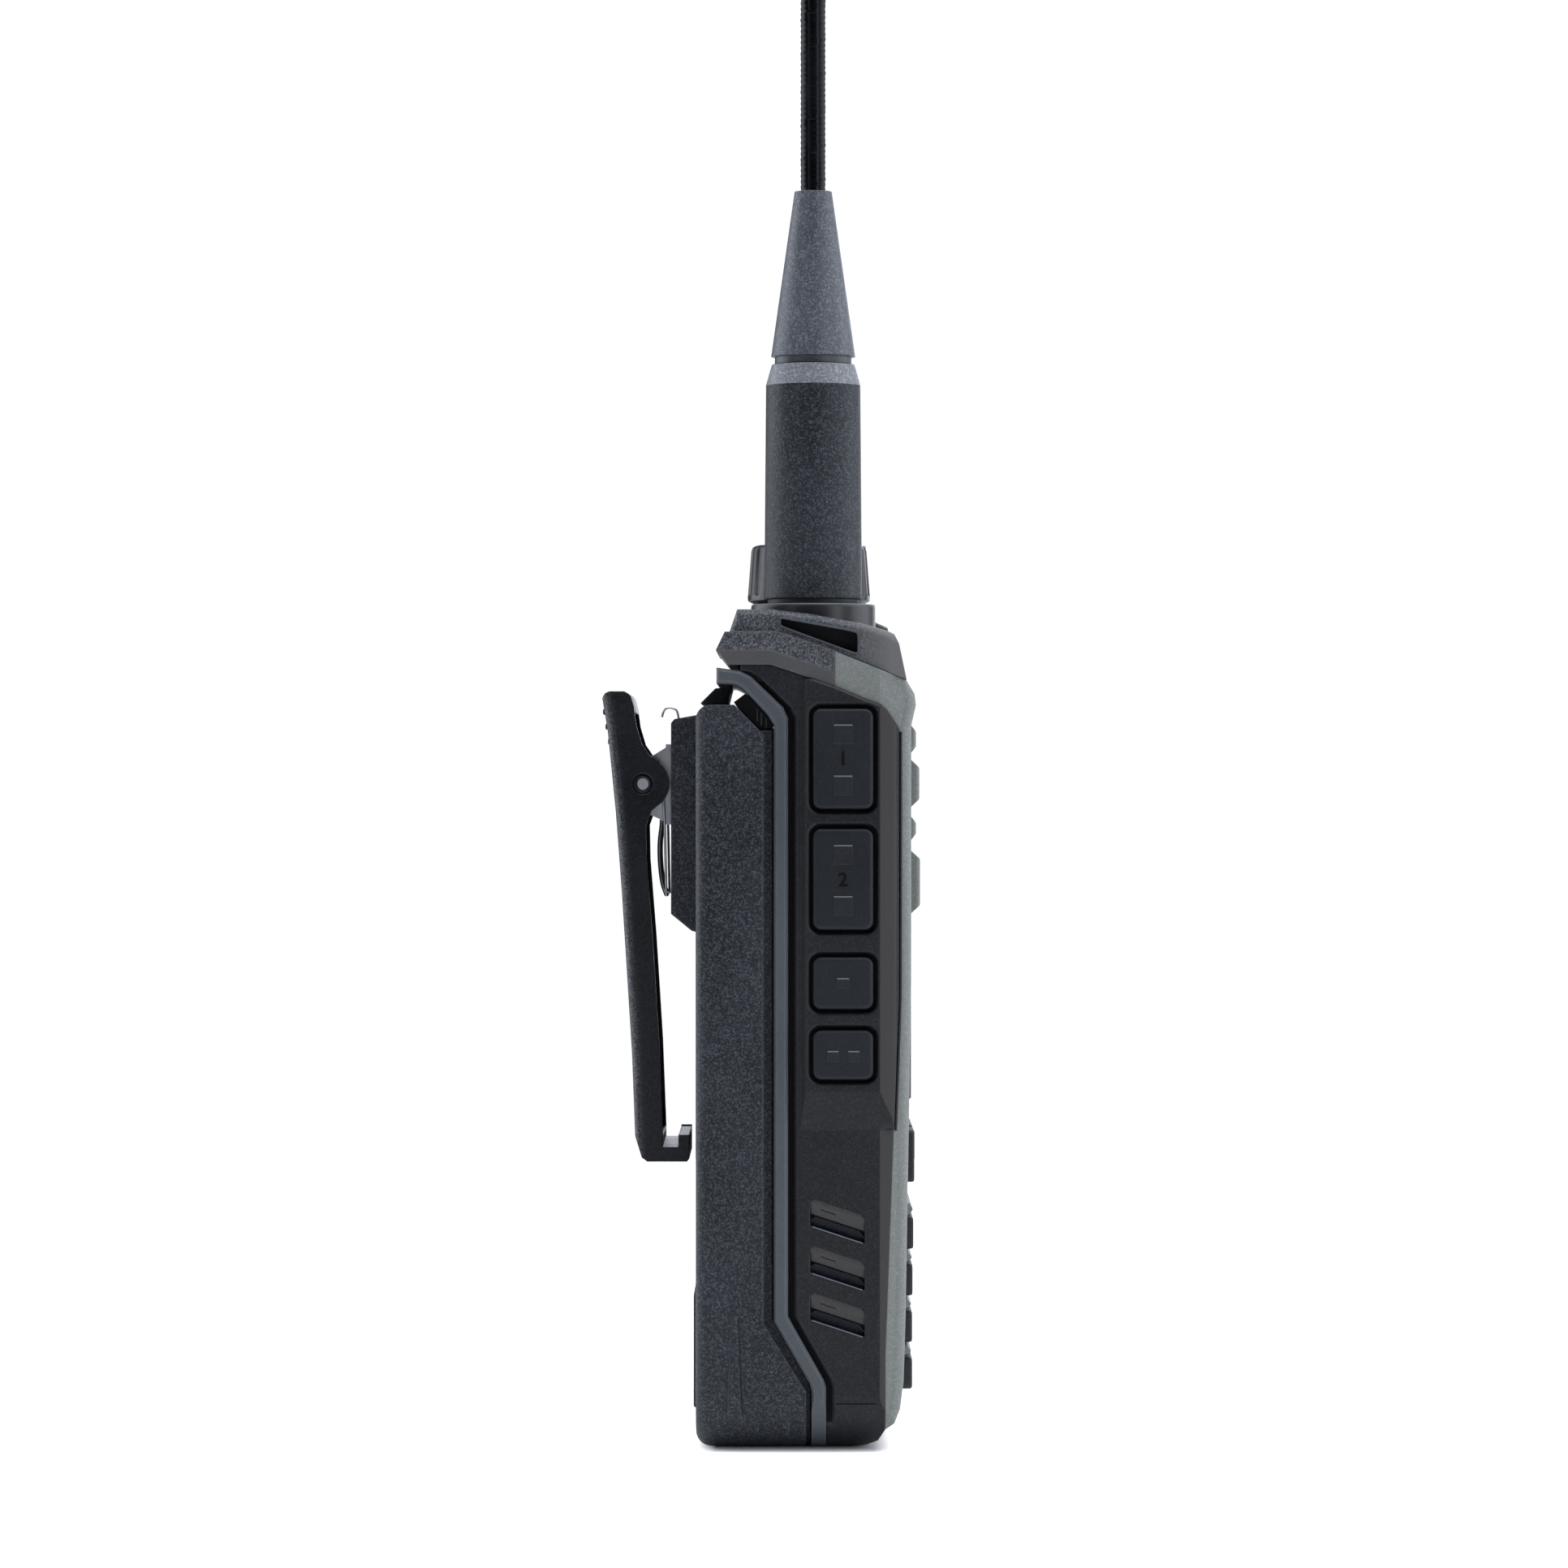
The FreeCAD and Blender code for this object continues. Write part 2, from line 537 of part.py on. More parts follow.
def antenna_connector():
    """The brass nut inside the antenna's foot, and the feed wire above it."""
    nut = disc(4.6, BASE_LOW, 133.0, ANTENNA_X, ANTENNA_Y)
    nut = nut.cut(disc(SOCKET_R + 0.06, BASE_LOW - 1, 131.0, ANTENNA_X, ANTENNA_Y))
    return union(nut, disc(1.0, 132.5, NECK_Z, ANTENNA_X, ANTENNA_Y))


def antenna_seal():
    """Rubber washer between the antenna's foot and its plinth."""
    ring = disc(6.7, COLLAR_TOP + 0.05, BASE_LOW - 0.02, ANTENNA_X, ANTENNA_Y)
    return ring.cut(disc(SOCKET_R + 0.3, COLLAR_TOP - 1, BASE_LOW + 1, ANTENNA_X, ANTENNA_Y))


def antenna_cone():
    """The soft strain relief between the sleeve and the whip."""
    x, y = ANTENNA_X, ANTENNA_Y
    cone = union(disc(5.6, NECK_Z, CONE_LOW, x, y), taper(6.2, 2.75, CONE_LOW, CONE_TOP, x, y))
    return cone.cut(disc(WHIP_R, NECK_Z + 3, CONE_TOP + 1, x, y))


def antenna_whip():
    whip = disc(WHIP_R, NECK_Z + 3, WHIP_TOP - 7, ANTENNA_X, ANTENNA_Y)
    cap = disc(WHIP_R + 0.45, WHIP_TOP - 7, WHIP_TOP, ANTENNA_X, ANTENNA_Y)
    cap = soften(cap, 1.6, lambda b: b.ZMin > WHIP_TOP - 0.01)
    return union(whip, cap)


# ---- Battery pack -------------------------------------------------------------------------

BATTERY_OUTLINE = [(-1.6, 0.0), (-1.6, 8.7), (BATTERY_FRONT, 18.6), (BATTERY_FRONT, 104.0),
                   (8.8, BATTERY_TOP), (BATTERY_REAR, BATTERY_TOP), (BATTERY_REAR, 0.0)]
# The raised face that bears on the rear plate, set in from the pack's sides.
BEARING_FACE = [(-2.2, 0.3), (-2.2, 8.8), (-1.85, 10.0), (2.5, 17.6), (3.3, 19.0), (3.3, 104.6),
                (5.0, 104.6), (5.0, 18.4), (-1.0, 8.7), (-1.0, 0.3)]
BEARING_INSET = 1.4
CONTACT_PAD_W, CONTACT_PAD_H = 4.4, 6.0


def battery_shell():
    shell = prism(BATTERY_OUTLINE, -BATTERY_HALF, BATTERY_HALF).common(body_width(BATTERY_HALF))
    shell = soften(shell, 2.2, lambda b: b.YMin > BATTERY_REAR - 0.01)
    hollow = box(-BATTERY_HALF + 2, BATTERY_HALF - 2, BATTERY_FRONT + 1.6, BATTERY_REAR - 1.6, 20, 103)
    shell = shell.cut(hollow)
    bearing = prism(BEARING_FACE, -BATTERY_HALF + BEARING_INSET, BATTERY_HALF - BEARING_INSET)
    bearing = bearing.common(body_width(BATTERY_HALF - BEARING_INSET))
    contact_window = box(-11.0, 11.0, 0, BATTERY_FRONT, 25.5, 34.5)
    # Pull ridge on each side and a pad across the lower rear.
    ridge = [(9.1, 19.6), (9.7, 4.6), (7.7, 4.6), (8.3, 19.6)]
    ridge = prism(ridge, -BATTERY_HALF - 0.4, -BATTERY_HALF + 1)
    ridge = soften(ridge, 0.25, lambda b: b.XMax < -BATTERY_HALF)
    ridge = ridge.common(body_width(BATTERY_HALF + 0.4))
    pad = box(-12, 12, BATTERY_REAR - 1, BATTERY_REAR + 0.55, 4.6, 21.5)
    pad = soften(pad, 0.4, lambda b: b.YMin > BATTERY_REAR + 0.5)
    shell = union(shell, pad, bearing.cut(contact_window), *both_sides(ridge))
    return shell.cut(union(*contact_pads()))


def contact_pads():
    half_w, half_h = CONTACT_PAD_W / 2, CONTACT_PAD_H / 2
    return [box(x - half_w, x + half_w, BATTERY_FRONT, BATTERY_FRONT + 0.6, z - half_h, z + half_h)
            for x, z in CONTACT_PLACES]


def battery_contacts():
    return Part.makeCompound(contact_pads())


def battery_cells():
    """Two flat cells side by side."""
    cell = box(0.4, 25.6, BATTERY_FRONT + 1.9, BATTERY_REAR - 1.9, 21, 98)
    return Part.makeCompound(both_sides(soften(cell, 2.0, runs_along("z"))))


def clip_mount():
    """Block on the battery's back that carries the belt clip."""
    outline = [(BATTERY_REAR, 107.0), (BLOCK_REAR - 0.5, 106.4), (BLOCK_REAR, 105.8), (BLOCK_REAR, 77.6),
               (BATTERY_REAR + 0.8, 75.1), (BATTERY_REAR, 74.9)]
    return prism(outline, -12.6, 12.6).cut(clip_screws())


def clip_bracket():
    """Folded steel bracket: a plate with two ears that hold the pin."""
    ear = [(BLOCK_REAR, 102.7), (21.2, 100.9), (24.0, 98.7), (24.0, 95.0), (21.3, 92.2), (BLOCK_REAR, 90.8)]
    plate = box(-11.2, 11.2, BLOCK_REAR, BLOCK_REAR + 0.8, 90.8, 102.7)
    bracket = union(plate, *both_sides(prism(ear, -11.2, -10.2)))
    return bracket.cut(bar_x(PIN_R + 0.02, -20, 20, PIN_Y, PIN_Z)).cut(clip_screws())


def clip_pin():
    return bar_x(PIN_R, -CLIP_HALF + 0.3, CLIP_HALF - 0.3, PIN_Y, PIN_Z)


def clip_spring():
    """Torsion spring: a coil on the pin, drawn as a sleeve, and a wire loop that bears on the block."""
    coil = bar_x(2.4, -6.5, 6.5, PIN_Y, PIN_Z).cut(bar_x(1.25, -8, 8, PIN_Y, PIN_Z))
    side = [(19.9, 94.9), (19.7, 91.2), (20.2, 87.4), (19.9, 82.2), (19.1, 80.2)]
    loop = [(-5.0, y, z) for y, z in side] + [(5.0, y, z) for y, z in side[::-1]]
    legs = [rod([(x, PIN_Y - 1.8, PIN_Z), (x, *side[0])], 0.45) for x in (-5.0, 5.0)]
    return union(coil, rod(loop, 0.45), *legs)


def clip_screws():
    """Two screws that hold the bracket to the block."""
    head = BLOCK_REAR + 0.8
    screws = [union(bar_y(1.0, 15.2, head, x, 99.9), bar_y(1.7, head, head + 0.6, x, 99.9))
              for x in (-7.6, 7.6)]
    return Part.makeCompound(screws)


# ---- Belt clip and latch ------------------------------------------------------------------

CLIP_TIP = [(24.2, 109.7), (24.5, 110.1), (25.2, 110.5), (27.4, 110.5), (28.1, 110.2), (28.5, 109.5)]
CLIP_OUTER = [(27.7, 104.7), (27.1, 98.7), (26.5, 92.7), (25.6, 80.7), (24.85, 68.8),
              (24.1, 56.8), (23.65, 44.8)]
CLIP_INNER = [(23.8, 108.3), (23.4, 105.4), (22.6, 102.7), (21.5, 101.1), (20.0, 100.1)]
CLIP_INNER_LOW = [(20.0, 93.8), (21.2, 92.8), (22.0, 90.6), (21.9, 85.5), (21.0, 74.0), (20.0, 58.0),
                  (19.5, 44.8)]


def clip_arm():
    """Channel-shaped lever with round bosses at the pin and a hook at its lower end."""
    heel = [(22.6, 41.6), (21.8, 41.0), (15.9, 41.0), (15.6, 41.4), (15.6, 45.0), (17.2, 45.0), (17.2, 43.2),
            (19.5, 43.2)]
    outline = CLIP_TIP + CLIP_OUTER + heel + CLIP_INNER_LOW[::-1] + CLIP_INNER[::-1]
    arm = prism(outline, -CLIP_HALF, CLIP_HALF)
    arm = union(arm, bar_x(3.9, -CLIP_HALF, CLIP_HALF, PIN_Y, PIN_Z))
    web = [(y - 1.9, z) for y, z in CLIP_OUTER]
    room = [(web[0][0] + 0.3, 107.4)] + web + [(10, 44.8), (10, 107.4)]
    arm = arm.cut(prism(room, -CLIP_HALF + CLIP_WALL, CLIP_HALF - CLIP_WALL))
    hole = bar_x(PIN_R + 0.06, -20, 20, PIN_Y, PIN_Z)
    for side in both_sides(bar_x(1.5, -20, -CLIP_HALF + 0.6, PIN_Y, PIN_Z)):
        hole = hole.fuse(side)
    arm = arm.cut(hole)
    return soften(arm, CLIP_ROUND, lambda b: abs(abs(b.XMin) - CLIP_HALF) < 1e-3 and b.XLength < 1e-3
                  and b.YMin > 23.6 and b.ZMax < 109.6)


def battery_latch():
    """Wedge under the plate's top flange that locks the battery pack."""
    return prism([(9.9, 108.7), (13.9, 108.7), (11.7, 110.9), (9.3, 111.1)], -15, 15)


def jack_cover():
    """Rubber flap over the accessory jack, with a knuckle along its lower edge."""
    flap = box(28.65, 30.2, -11.2, -2.8, JACK_LOW, JACK_HIGH)
    flap = soften(flap, 1.5, runs_along("x"))
    flap = soften(flap, 0.5, lambda b: b.XMin > 30.19)
    plug = box(27.6, 28.7, -9.6, -4.4, 95.0, 100.0)
    return union(flap, plug)


# ---- Write every part ---------------------------------------------------------------------

PARTS = {
    "main_housing": main_housing, "rear_plate": rear_plate, "front_cover": front_cover,
    "bumper_strip": bumper_strip, "top_cap": top_cap, "led_lens": led_lens,
    "antenna_collar": antenna_collar, "antenna_socket": antenna_socket, "volume_encoder": volume_encoder,
    "main_board": main_board, "speaker_driver": speaker_driver, "speaker_mesh": speaker_mesh,
    "display_lens": display_lens, "display_module": display_module, "keypad_mat": keypad_mat,
    "microphone": microphone, "side_switches": side_switches, "jack_block": jack_block,
    "housing_screws": housing_screws, "contact_pins": contact_pins, "volume_knob": volume_knob,
    "antenna_base": antenna_base, "antenna_connector": antenna_connector, "antenna_seal": antenna_seal,
    "antenna_cone": antenna_cone, "antenna_whip": antenna_whip, "battery_shell": battery_shell,
    "battery_contacts": battery_contacts, "battery_cells": battery_cells, "clip_mount": clip_mount,
    "clip_bracket": clip_bracket, "clip_pin": clip_pin, "clip_spring": clip_spring,
    "clip_screws": clip_screws, "clip_arm": clip_arm, "battery_latch": battery_latch,
    "jack_cover": jack_cover,
}


def write(name, shape):
    shape.exportStep(f"parts/{name}.step")
    solids = len(shape.Solids)
    print(f"{name}: {solids} solid(s), {shape.Volume:.0f} mm3, valid {shape.isValid()}")


os.makedirs("parts", exist_ok=True)
for part_name, make in PARTS.items():
    write(part_name, make())
for button_name, (edge_low, edge_high) in SIDE_KEYS.items():
    write(button_name, side_button(edge_low, edge_high))
for key_name, key_x, key_z, key_width, key_height in key_plans():
    write(key_name, front_key(key_x, key_z, key_width, key_height))
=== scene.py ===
"""Looks for the handheld radio: materials for every CAD node and the fine pieces around them.

Metres, in the CAD model's frame: +X to the user's right, -Y the keypad side, +Z up.
Places and outlines that follow the CAD model's dimensions are in millimetres, scaled by MM.
"""

import json
import math

import bmesh
import bpy
from mathutils import Matrix, Vector


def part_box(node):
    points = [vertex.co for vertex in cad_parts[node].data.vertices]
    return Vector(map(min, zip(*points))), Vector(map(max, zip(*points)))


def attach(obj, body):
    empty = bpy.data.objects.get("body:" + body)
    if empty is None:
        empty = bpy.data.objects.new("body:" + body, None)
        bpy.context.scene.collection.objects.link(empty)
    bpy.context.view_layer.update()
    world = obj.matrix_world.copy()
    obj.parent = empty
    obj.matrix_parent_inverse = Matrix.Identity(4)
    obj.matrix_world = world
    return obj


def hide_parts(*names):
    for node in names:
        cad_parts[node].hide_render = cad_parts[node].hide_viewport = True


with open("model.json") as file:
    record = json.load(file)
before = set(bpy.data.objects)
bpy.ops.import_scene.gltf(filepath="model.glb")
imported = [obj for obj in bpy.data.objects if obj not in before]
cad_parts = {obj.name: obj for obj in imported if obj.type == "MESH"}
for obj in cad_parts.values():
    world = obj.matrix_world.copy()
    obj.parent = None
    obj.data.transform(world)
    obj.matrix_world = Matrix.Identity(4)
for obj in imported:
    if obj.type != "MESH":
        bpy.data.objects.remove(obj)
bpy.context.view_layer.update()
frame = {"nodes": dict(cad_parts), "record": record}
NODES = frame["nodes"]
MM = 0.001
SIDES = (("left", -1), ("right", 1))

# ---- Places on the CAD model, in mm -------------------------------------------------------

WALL_X = 27.8              # outer face of the housing's side walls
GRIP_COUNT = 3             # slanted grip recesses in each side wall
GRIP_REAR = -2.2           # rear end of a recess
GRIP_TOP, GRIP_PITCH = 36.8, 6.8   # top of the highest recess, and the step down to the next
GRIP_RUN, GRIP_FALL = 7.9, 2.6     # length of a recess, and its fall towards the front
RIDGE_HIGH, RIDGE_LOW = 19.4, 5.2  # ends of the pull ridges on the battery's side walls
# Y and Z of the slanted window in each shoulder of the top cap.
WINDOW = [(2.2, 121.0), (2.2, 119.7), (-9.2, 115.5), (-9.2, 118.9)]


# ---- Node helpers -------------------------------------------------------------------------

class Graph:
    """A small wrapper that makes a material's node graph short to write."""

    def __init__(self, name):
        self.material = bpy.data.materials.new(name)
        self.material.use_nodes = True
        self.tree = self.material.node_tree
        self.shader = self.tree.nodes["Principled BSDF"]
        self.place = self.tree.nodes.new("ShaderNodeTexCoord").outputs["Object"]

    def node(self, kind, links=(), **values):
        """Adds a node; links holds its inputs, each a socket to join or a constant."""
        made = self.tree.nodes.new(kind)
        for key, value in values.items():
            setattr(made, key, value)
        for socket, source in dict(links).items():
            if isinstance(source, bpy.types.NodeSocket):
                self.tree.links.new(source, made.inputs[socket])
            else:
                made.inputs[socket].default_value = source
        return made

    def math(self, operation, a, b=0.0):
        return self.node("ShaderNodeMath", {0: a, 1: b}, operation=operation).outputs[0]

    def times(self, a, b):
        return self.math("MULTIPLY", a, b)

    def noise(self, size_mm, detail=2.0, roughness=0.5, stretch=None):
        """Noise whose blobs are about size_mm across."""
        place = self.place
        if stretch:
            place = self.node("ShaderNodeMapping", {"Vector": place, "Scale": stretch}).outputs[0]
        links = {"Vector": place, "Scale": 1 / (size_mm * 2 * MM), "Detail": detail, "Roughness": roughness}
        return self.node("ShaderNodeTexNoise", links).outputs["Fac"]

    def cells(self, size_mm, feature="F1"):
        """Distance to the nearest point, or edge, of cells about size_mm across."""
        links = {"Vector": self.place, "Scale": 1 / (size_mm * MM)}
        return self.node("ShaderNodeTexVoronoi", links, feature=feature).outputs["Distance"]

    def grit(self, size_mm, power):
        """Dense grain: a random tone in every tiny cell; a higher power leaves fewer bright cells."""
        links = {"Vector": self.place, "Scale": 1 / (size_mm * MM)}
        tone = self.node("ShaderNodeTexVoronoi", links).outputs["Color"]
        return self.math("POWER", self.node("ShaderNodeSeparateColor", {0: tone}).outputs[0], power)

    def speckle(self, size_mm):
        """Small round dots about size_mm apart, with gaps, each 1 at its middle."""
        dots = self.remap(self.cells(size_mm), 0.42, 0.12)
        patches = self.remap(self.noise(size_mm * 1.6), 0.4, 0.58)
        return self.times(dots, patches)

    def remap(self, value, low, high, to_low=0.0, to_high=1.0):
        links = {"Value": value, "From Min": low, "From Max": high, "To Min": to_low, "To Max": to_high}
        return self.node("ShaderNodeMapRange", links, clamp=True).outputs[0]

    def spread(self, noise, to_low, to_high):
        """Stretches the range that most noise falls in over another range."""
        return self.remap(noise, 0.3, 0.7, to_low, to_high)

    def mix(self, share, a, b):
        """Mixes two colours: sockets 0, 6 and 7 are the share and the colours."""
        return self.node("ShaderNodeMix", {0: share, 6: a, 7: b}, data_type="RGBA").outputs[2]

    def bump(self, height, depth_mm, normal=None):
        links = {"Height": height, "Distance": depth_mm * MM, "Strength": 1.0}
        if normal:
            links["Normal"] = normal
        return self.node("ShaderNodeBump", links).outputs[0]

    def true_normal(self):
        return self.node("ShaderNodeNewGeometry").outputs["Normal"]

    def round_normal(self, radius_mm):
        """The normal with edges shaded as if they were rounded."""
        return self.node("ShaderNodeBevel", {"Radius": radius_mm * MM}, samples=6).outputs[0]

    def edge_mask(self, radius_mm):
        """1 on outer and inner edges, 0 on flat stretches."""
        links = {0: self.true_normal(), 1: self.round_normal(radius_mm)}
        agreement = self.node("ShaderNodeVectorMath", links, operation="DOT_PRODUCT").outputs["Value"]
        return self.remap(agreement, 1.0, 0.82)

    def axis(self, name):
        """One coordinate of the place, in the model's frame."""
        return self.node("ShaderNodeSeparateXYZ", {0: self.place}).outputs[name]

    def normal_axis(self, name):
        """One part of the true surface normal, in the model's frame."""
        return self.node("ShaderNodeSeparateXYZ", {0: self.true_normal()}).outputs[name]

    def use(self, **sockets):
        """Sets or joins the shader's own sockets and gives the finished material."""
        for name, source in sockets.items():
            socket = self.shader.inputs[name.replace("_", " ")]
            if isinstance(source, bpy.types.NodeSocket):
                self.tree.links.new(source, socket)
            else:
                socket.default_value = source
        return self.material


def rgb(*values):
    return (*values, 1.0)


# ---- Kinds of material --------------------------------------------------------------------

def moulded(name, dark, light, rough, grain_mm, depth_mm, fleck, wear, edge_mm, specular=0.5,
            front_painted_light=None):
    """Moulded plastic or rubber: spark grain, light flecks, uneven sheen and paler edges, partly wear and
    partly painted highlight.

    depth_mm is the depth of the grain, and edge_mm the radius of the rounded edges that are painted paler.
    Painted light: a front tint colours the faces that turn a little towards the keypad side, as if they were
    lit from the front.
    """
    g = Graph(name)
    grain = g.noise(grain_mm, detail=2.0, roughness=0.6)
    pits = g.speckle(grain_mm * 1.25)
    blotch = g.noise(9.0, detail=3.0)
    wear_and_highlight_breakup = g.noise(1.2, detail=4.0, roughness=0.7)
    edges = g.times(g.edge_mask(edge_mm), g.remap(wear_and_highlight_breakup, 0.35, 0.65, 0.35, 1.0))
    flecks = g.math("ADD", g.times(pits, fleck), g.times(g.grit(grain_mm, 3.0), fleck))
    tone = g.math("ADD", flecks, g.spread(blotch, 0.0, 0.1))
    base = g.mix(tone, rgb(*dark), rgb(*light))
    if front_painted_light:
        base = g.mix(g.remap(g.normal_axis("Y"), -0.15, -0.28), base, rgb(*front_painted_light))
    # Paler edges: partly wear, partly a painted highlight on the rounded edges.
    base = g.mix(g.times(edges, wear), base, rgb(*light))
    height = g.math("ADD", grain, g.times(pits, 0.5))
    shine = g.math("ADD", g.spread(blotch, rough - 0.05, rough + 0.06), g.times(grain, 0.08))
    return g.use(Base_Color=base, Roughness=shine, Normal=g.bump(height, depth_mm, g.round_normal(edge_mm)),
                 Specular_IOR_Level=specular)


def metal(name, colour, rough):
    """Brushed or plated metal with fine scratches and darker patches."""
    g = Graph(name)
    brush = g.noise(0.08, detail=2.0, stretch=(0.08, 1.0, 1.0))
    patch = g.noise(2.5, detail=3.0)
    tarnish = rgb(*[channel * 0.55 for channel in colour])
    base = g.mix(g.times(g.remap(patch, 0.45, 0.7), 0.25), rgb(*colour), tarnish)
    shine = g.math("ADD", g.spread(patch, rough - 0.06, rough + 0.1), g.times(brush, 0.1))
    normal = g.bump(brush, 0.006, g.round_normal(0.1))
    return g.use(Base_Color=base, Roughness=shine, Normal=normal, Metallic=1.0)


def printed(name, colour):
    """Slightly worn print."""
    g = Graph(name)
    wear = g.noise(0.35, detail=4.0, roughness=0.7)
    worn = rgb(*[channel * 0.45 for channel in colour])
    base = g.mix(g.remap(wear, 0.62, 0.75), rgb(*colour), worn)
    return g.use(Base_Color=base, Roughness=g.spread(wear, 0.5, 0.65), Normal=g.bump(wear, 0.004),
                 Specular_IOR_Level=0.12)


def glossy_sleeve():
    """Black heat-shrunk sleeve with faint smears."""
    g = Graph("glossy_sleeve")
    smear = g.noise(2.0, detail=4.0, roughness=0.65)
    dust = g.noise(0.15, detail=2.0)
    base = g.mix(g.remap(smear, 0.4, 0.7, 0.0, 0.5), rgb(0.0015, 0.002, 0.003), rgb(0.008, 0.009, 0.012))
    return g.use(Base_Color=base, Roughness=g.remap(smear, 0.35, 0.7, 0.2, 0.36), Normal=g.bump(dust, 0.004),
                 Specular_IOR_Level=0.14)


def circuit():
    """Green solder mask with raised tracks."""
    g = Graph("circuit")
    tracks = g.cells(1.6, "DISTANCE_TO_EDGE")
    base = g.mix(g.remap(tracks, 0.05, 0.09), rgb(0.05, 0.2, 0.06), rgb(0.015, 0.07, 0.03))
    shine = g.remap(tracks, 0.0, 0.4, 0.25, 0.4)
    return g.use(Base_Color=base, Roughness=shine, Normal=g.bump(tracks, 0.03))


def woven_mesh():
    """Loudspeaker cloth: a fine weave of two crossing waves."""
    g = Graph("woven_mesh")
    waves_per_metre = 2 * math.pi / (0.5 * MM)
    across = g.math("SINE", g.times(g.axis("X"), waves_per_metre))
    along = g.math("SINE", g.times(g.axis("Z"), waves_per_metre))
    weave = g.math("MAXIMUM", across, along)
    base = g.mix(g.remap(weave, 0.2, 0.9), rgb(0.004, 0.004, 0.004), rgb(0.06, 0.062, 0.065))
    return g.use(Base_Color=base, Roughness=g.remap(weave, -1, 1, 0.7, 0.45), Normal=g.bump(weave, 0.08))


def cap_plastic():
    """Top cap: coarse grain like the battery's, with fewer flecks and a paler tone towards the front."""
    g = Graph("cap_black")
    grain = g.noise(0.2, detail=2.0, roughness=0.6)
    blotch = g.noise(6.0, detail=3.0)
    front = g.remap(g.axis("Y"), -7 * MM, -14 * MM)
    dots = g.math("MAXIMUM", g.speckle(0.3), g.grit(0.22, 2.0))
    flecks = g.times(dots, g.remap(front, 0.0, 1.0, 0.8, 0.3))
    base = g.mix(g.spread(blotch, 0.0, 0.1), rgb(0.014, 0.016, 0.02), rgb(0.06, 0.063, 0.07))
    base = g.mix(flecks, base, rgb(0.17, 0.178, 0.195))
    base = g.mix(g.times(front, 0.85), base, rgb(0.165, 0.162, 0.158))
    # Painted highlight: every edge is mixed towards a paler grey.
    base = g.mix(g.times(g.edge_mask(0.45), 0.5), base, rgb(0.14, 0.145, 0.155))
    height = g.times(grain, g.remap(front, 0.0, 1.0, 1.0, 0.4))
    return g.use(Base_Color=base, Roughness=g.spread(blotch, 0.42, 0.54),
                 Normal=g.bump(height, 0.05, g.round_normal(0.45)), Specular_IOR_Level=0.4)


def clip_plastic():
    """Belt clip: coarse grain on the outer face, smooth dark side walls."""
    g = Graph("clip_black")
    outer = g.remap(g.normal_axis("Y"), 0.25, 0.7)
    grain = g.noise(0.2, detail=2.0, roughness=0.6)
    smear = g.noise(5.0, detail=3.0)
    dots = g.math("MAXIMUM", g.speckle(0.32), g.times(g.grit(0.22, 2.0), 0.7))
    flecks = g.times(dots, g.remap(outer, 0.0, 1.0, 0.12, 1.0))
    base = g.mix(g.spread(smear, 0.0, 0.2), rgb(0.002, 0.0025, 0.004), rgb(0.02, 0.022, 0.027))
    base = g.mix(flecks, base, rgb(0.12, 0.125, 0.135))
    base = g.mix(g.times(g.edge_mask(0.35), 0.5), base, rgb(0.06, 0.065, 0.075))
    height = g.times(grain, g.remap(outer, 0.0, 1.0, 0.15, 1.0))
    return g.use(Base_Color=base, Roughness=g.spread(smear, 0.34, 0.46),
                 Normal=g.bump(height, 0.06, g.round_normal(0.3)), Specular_IOR_Level=0.3)


def screen_glass():
    """Dark display window with finger smears."""
    g = Graph("screen_glass")
    smear = g.noise(6.0, detail=5.0, roughness=0.7)
    base = g.mix(g.remap(smear, 0.4, 0.7, 0.0, 0.6), rgb(0.006, 0.007, 0.008), rgb(0.012, 0.013, 0.014))
    shine = g.remap(smear, 0.35, 0.7, 0.05, 0.16)
    return g.use(Base_Color=base, Roughness=shine, Normal=g.bump(smear, 0.004))


def lamp_lens():
    """Hazy clear plastic over the status lamp."""
    g = Graph("lamp_lens")
    haze = g.noise(0.8, detail=3.0)
    base = g.mix(haze, rgb(0.10, 0.11, 0.11), rgb(0.2, 0.21, 0.2))
    return g.use(Base_Color=base, Roughness=g.spread(haze, 0.15, 0.3), Normal=g.bump(haze, 0.01),
                 Transmission_Weight=0.3)


# ---- Materials ----------------------------------------------------------------------------

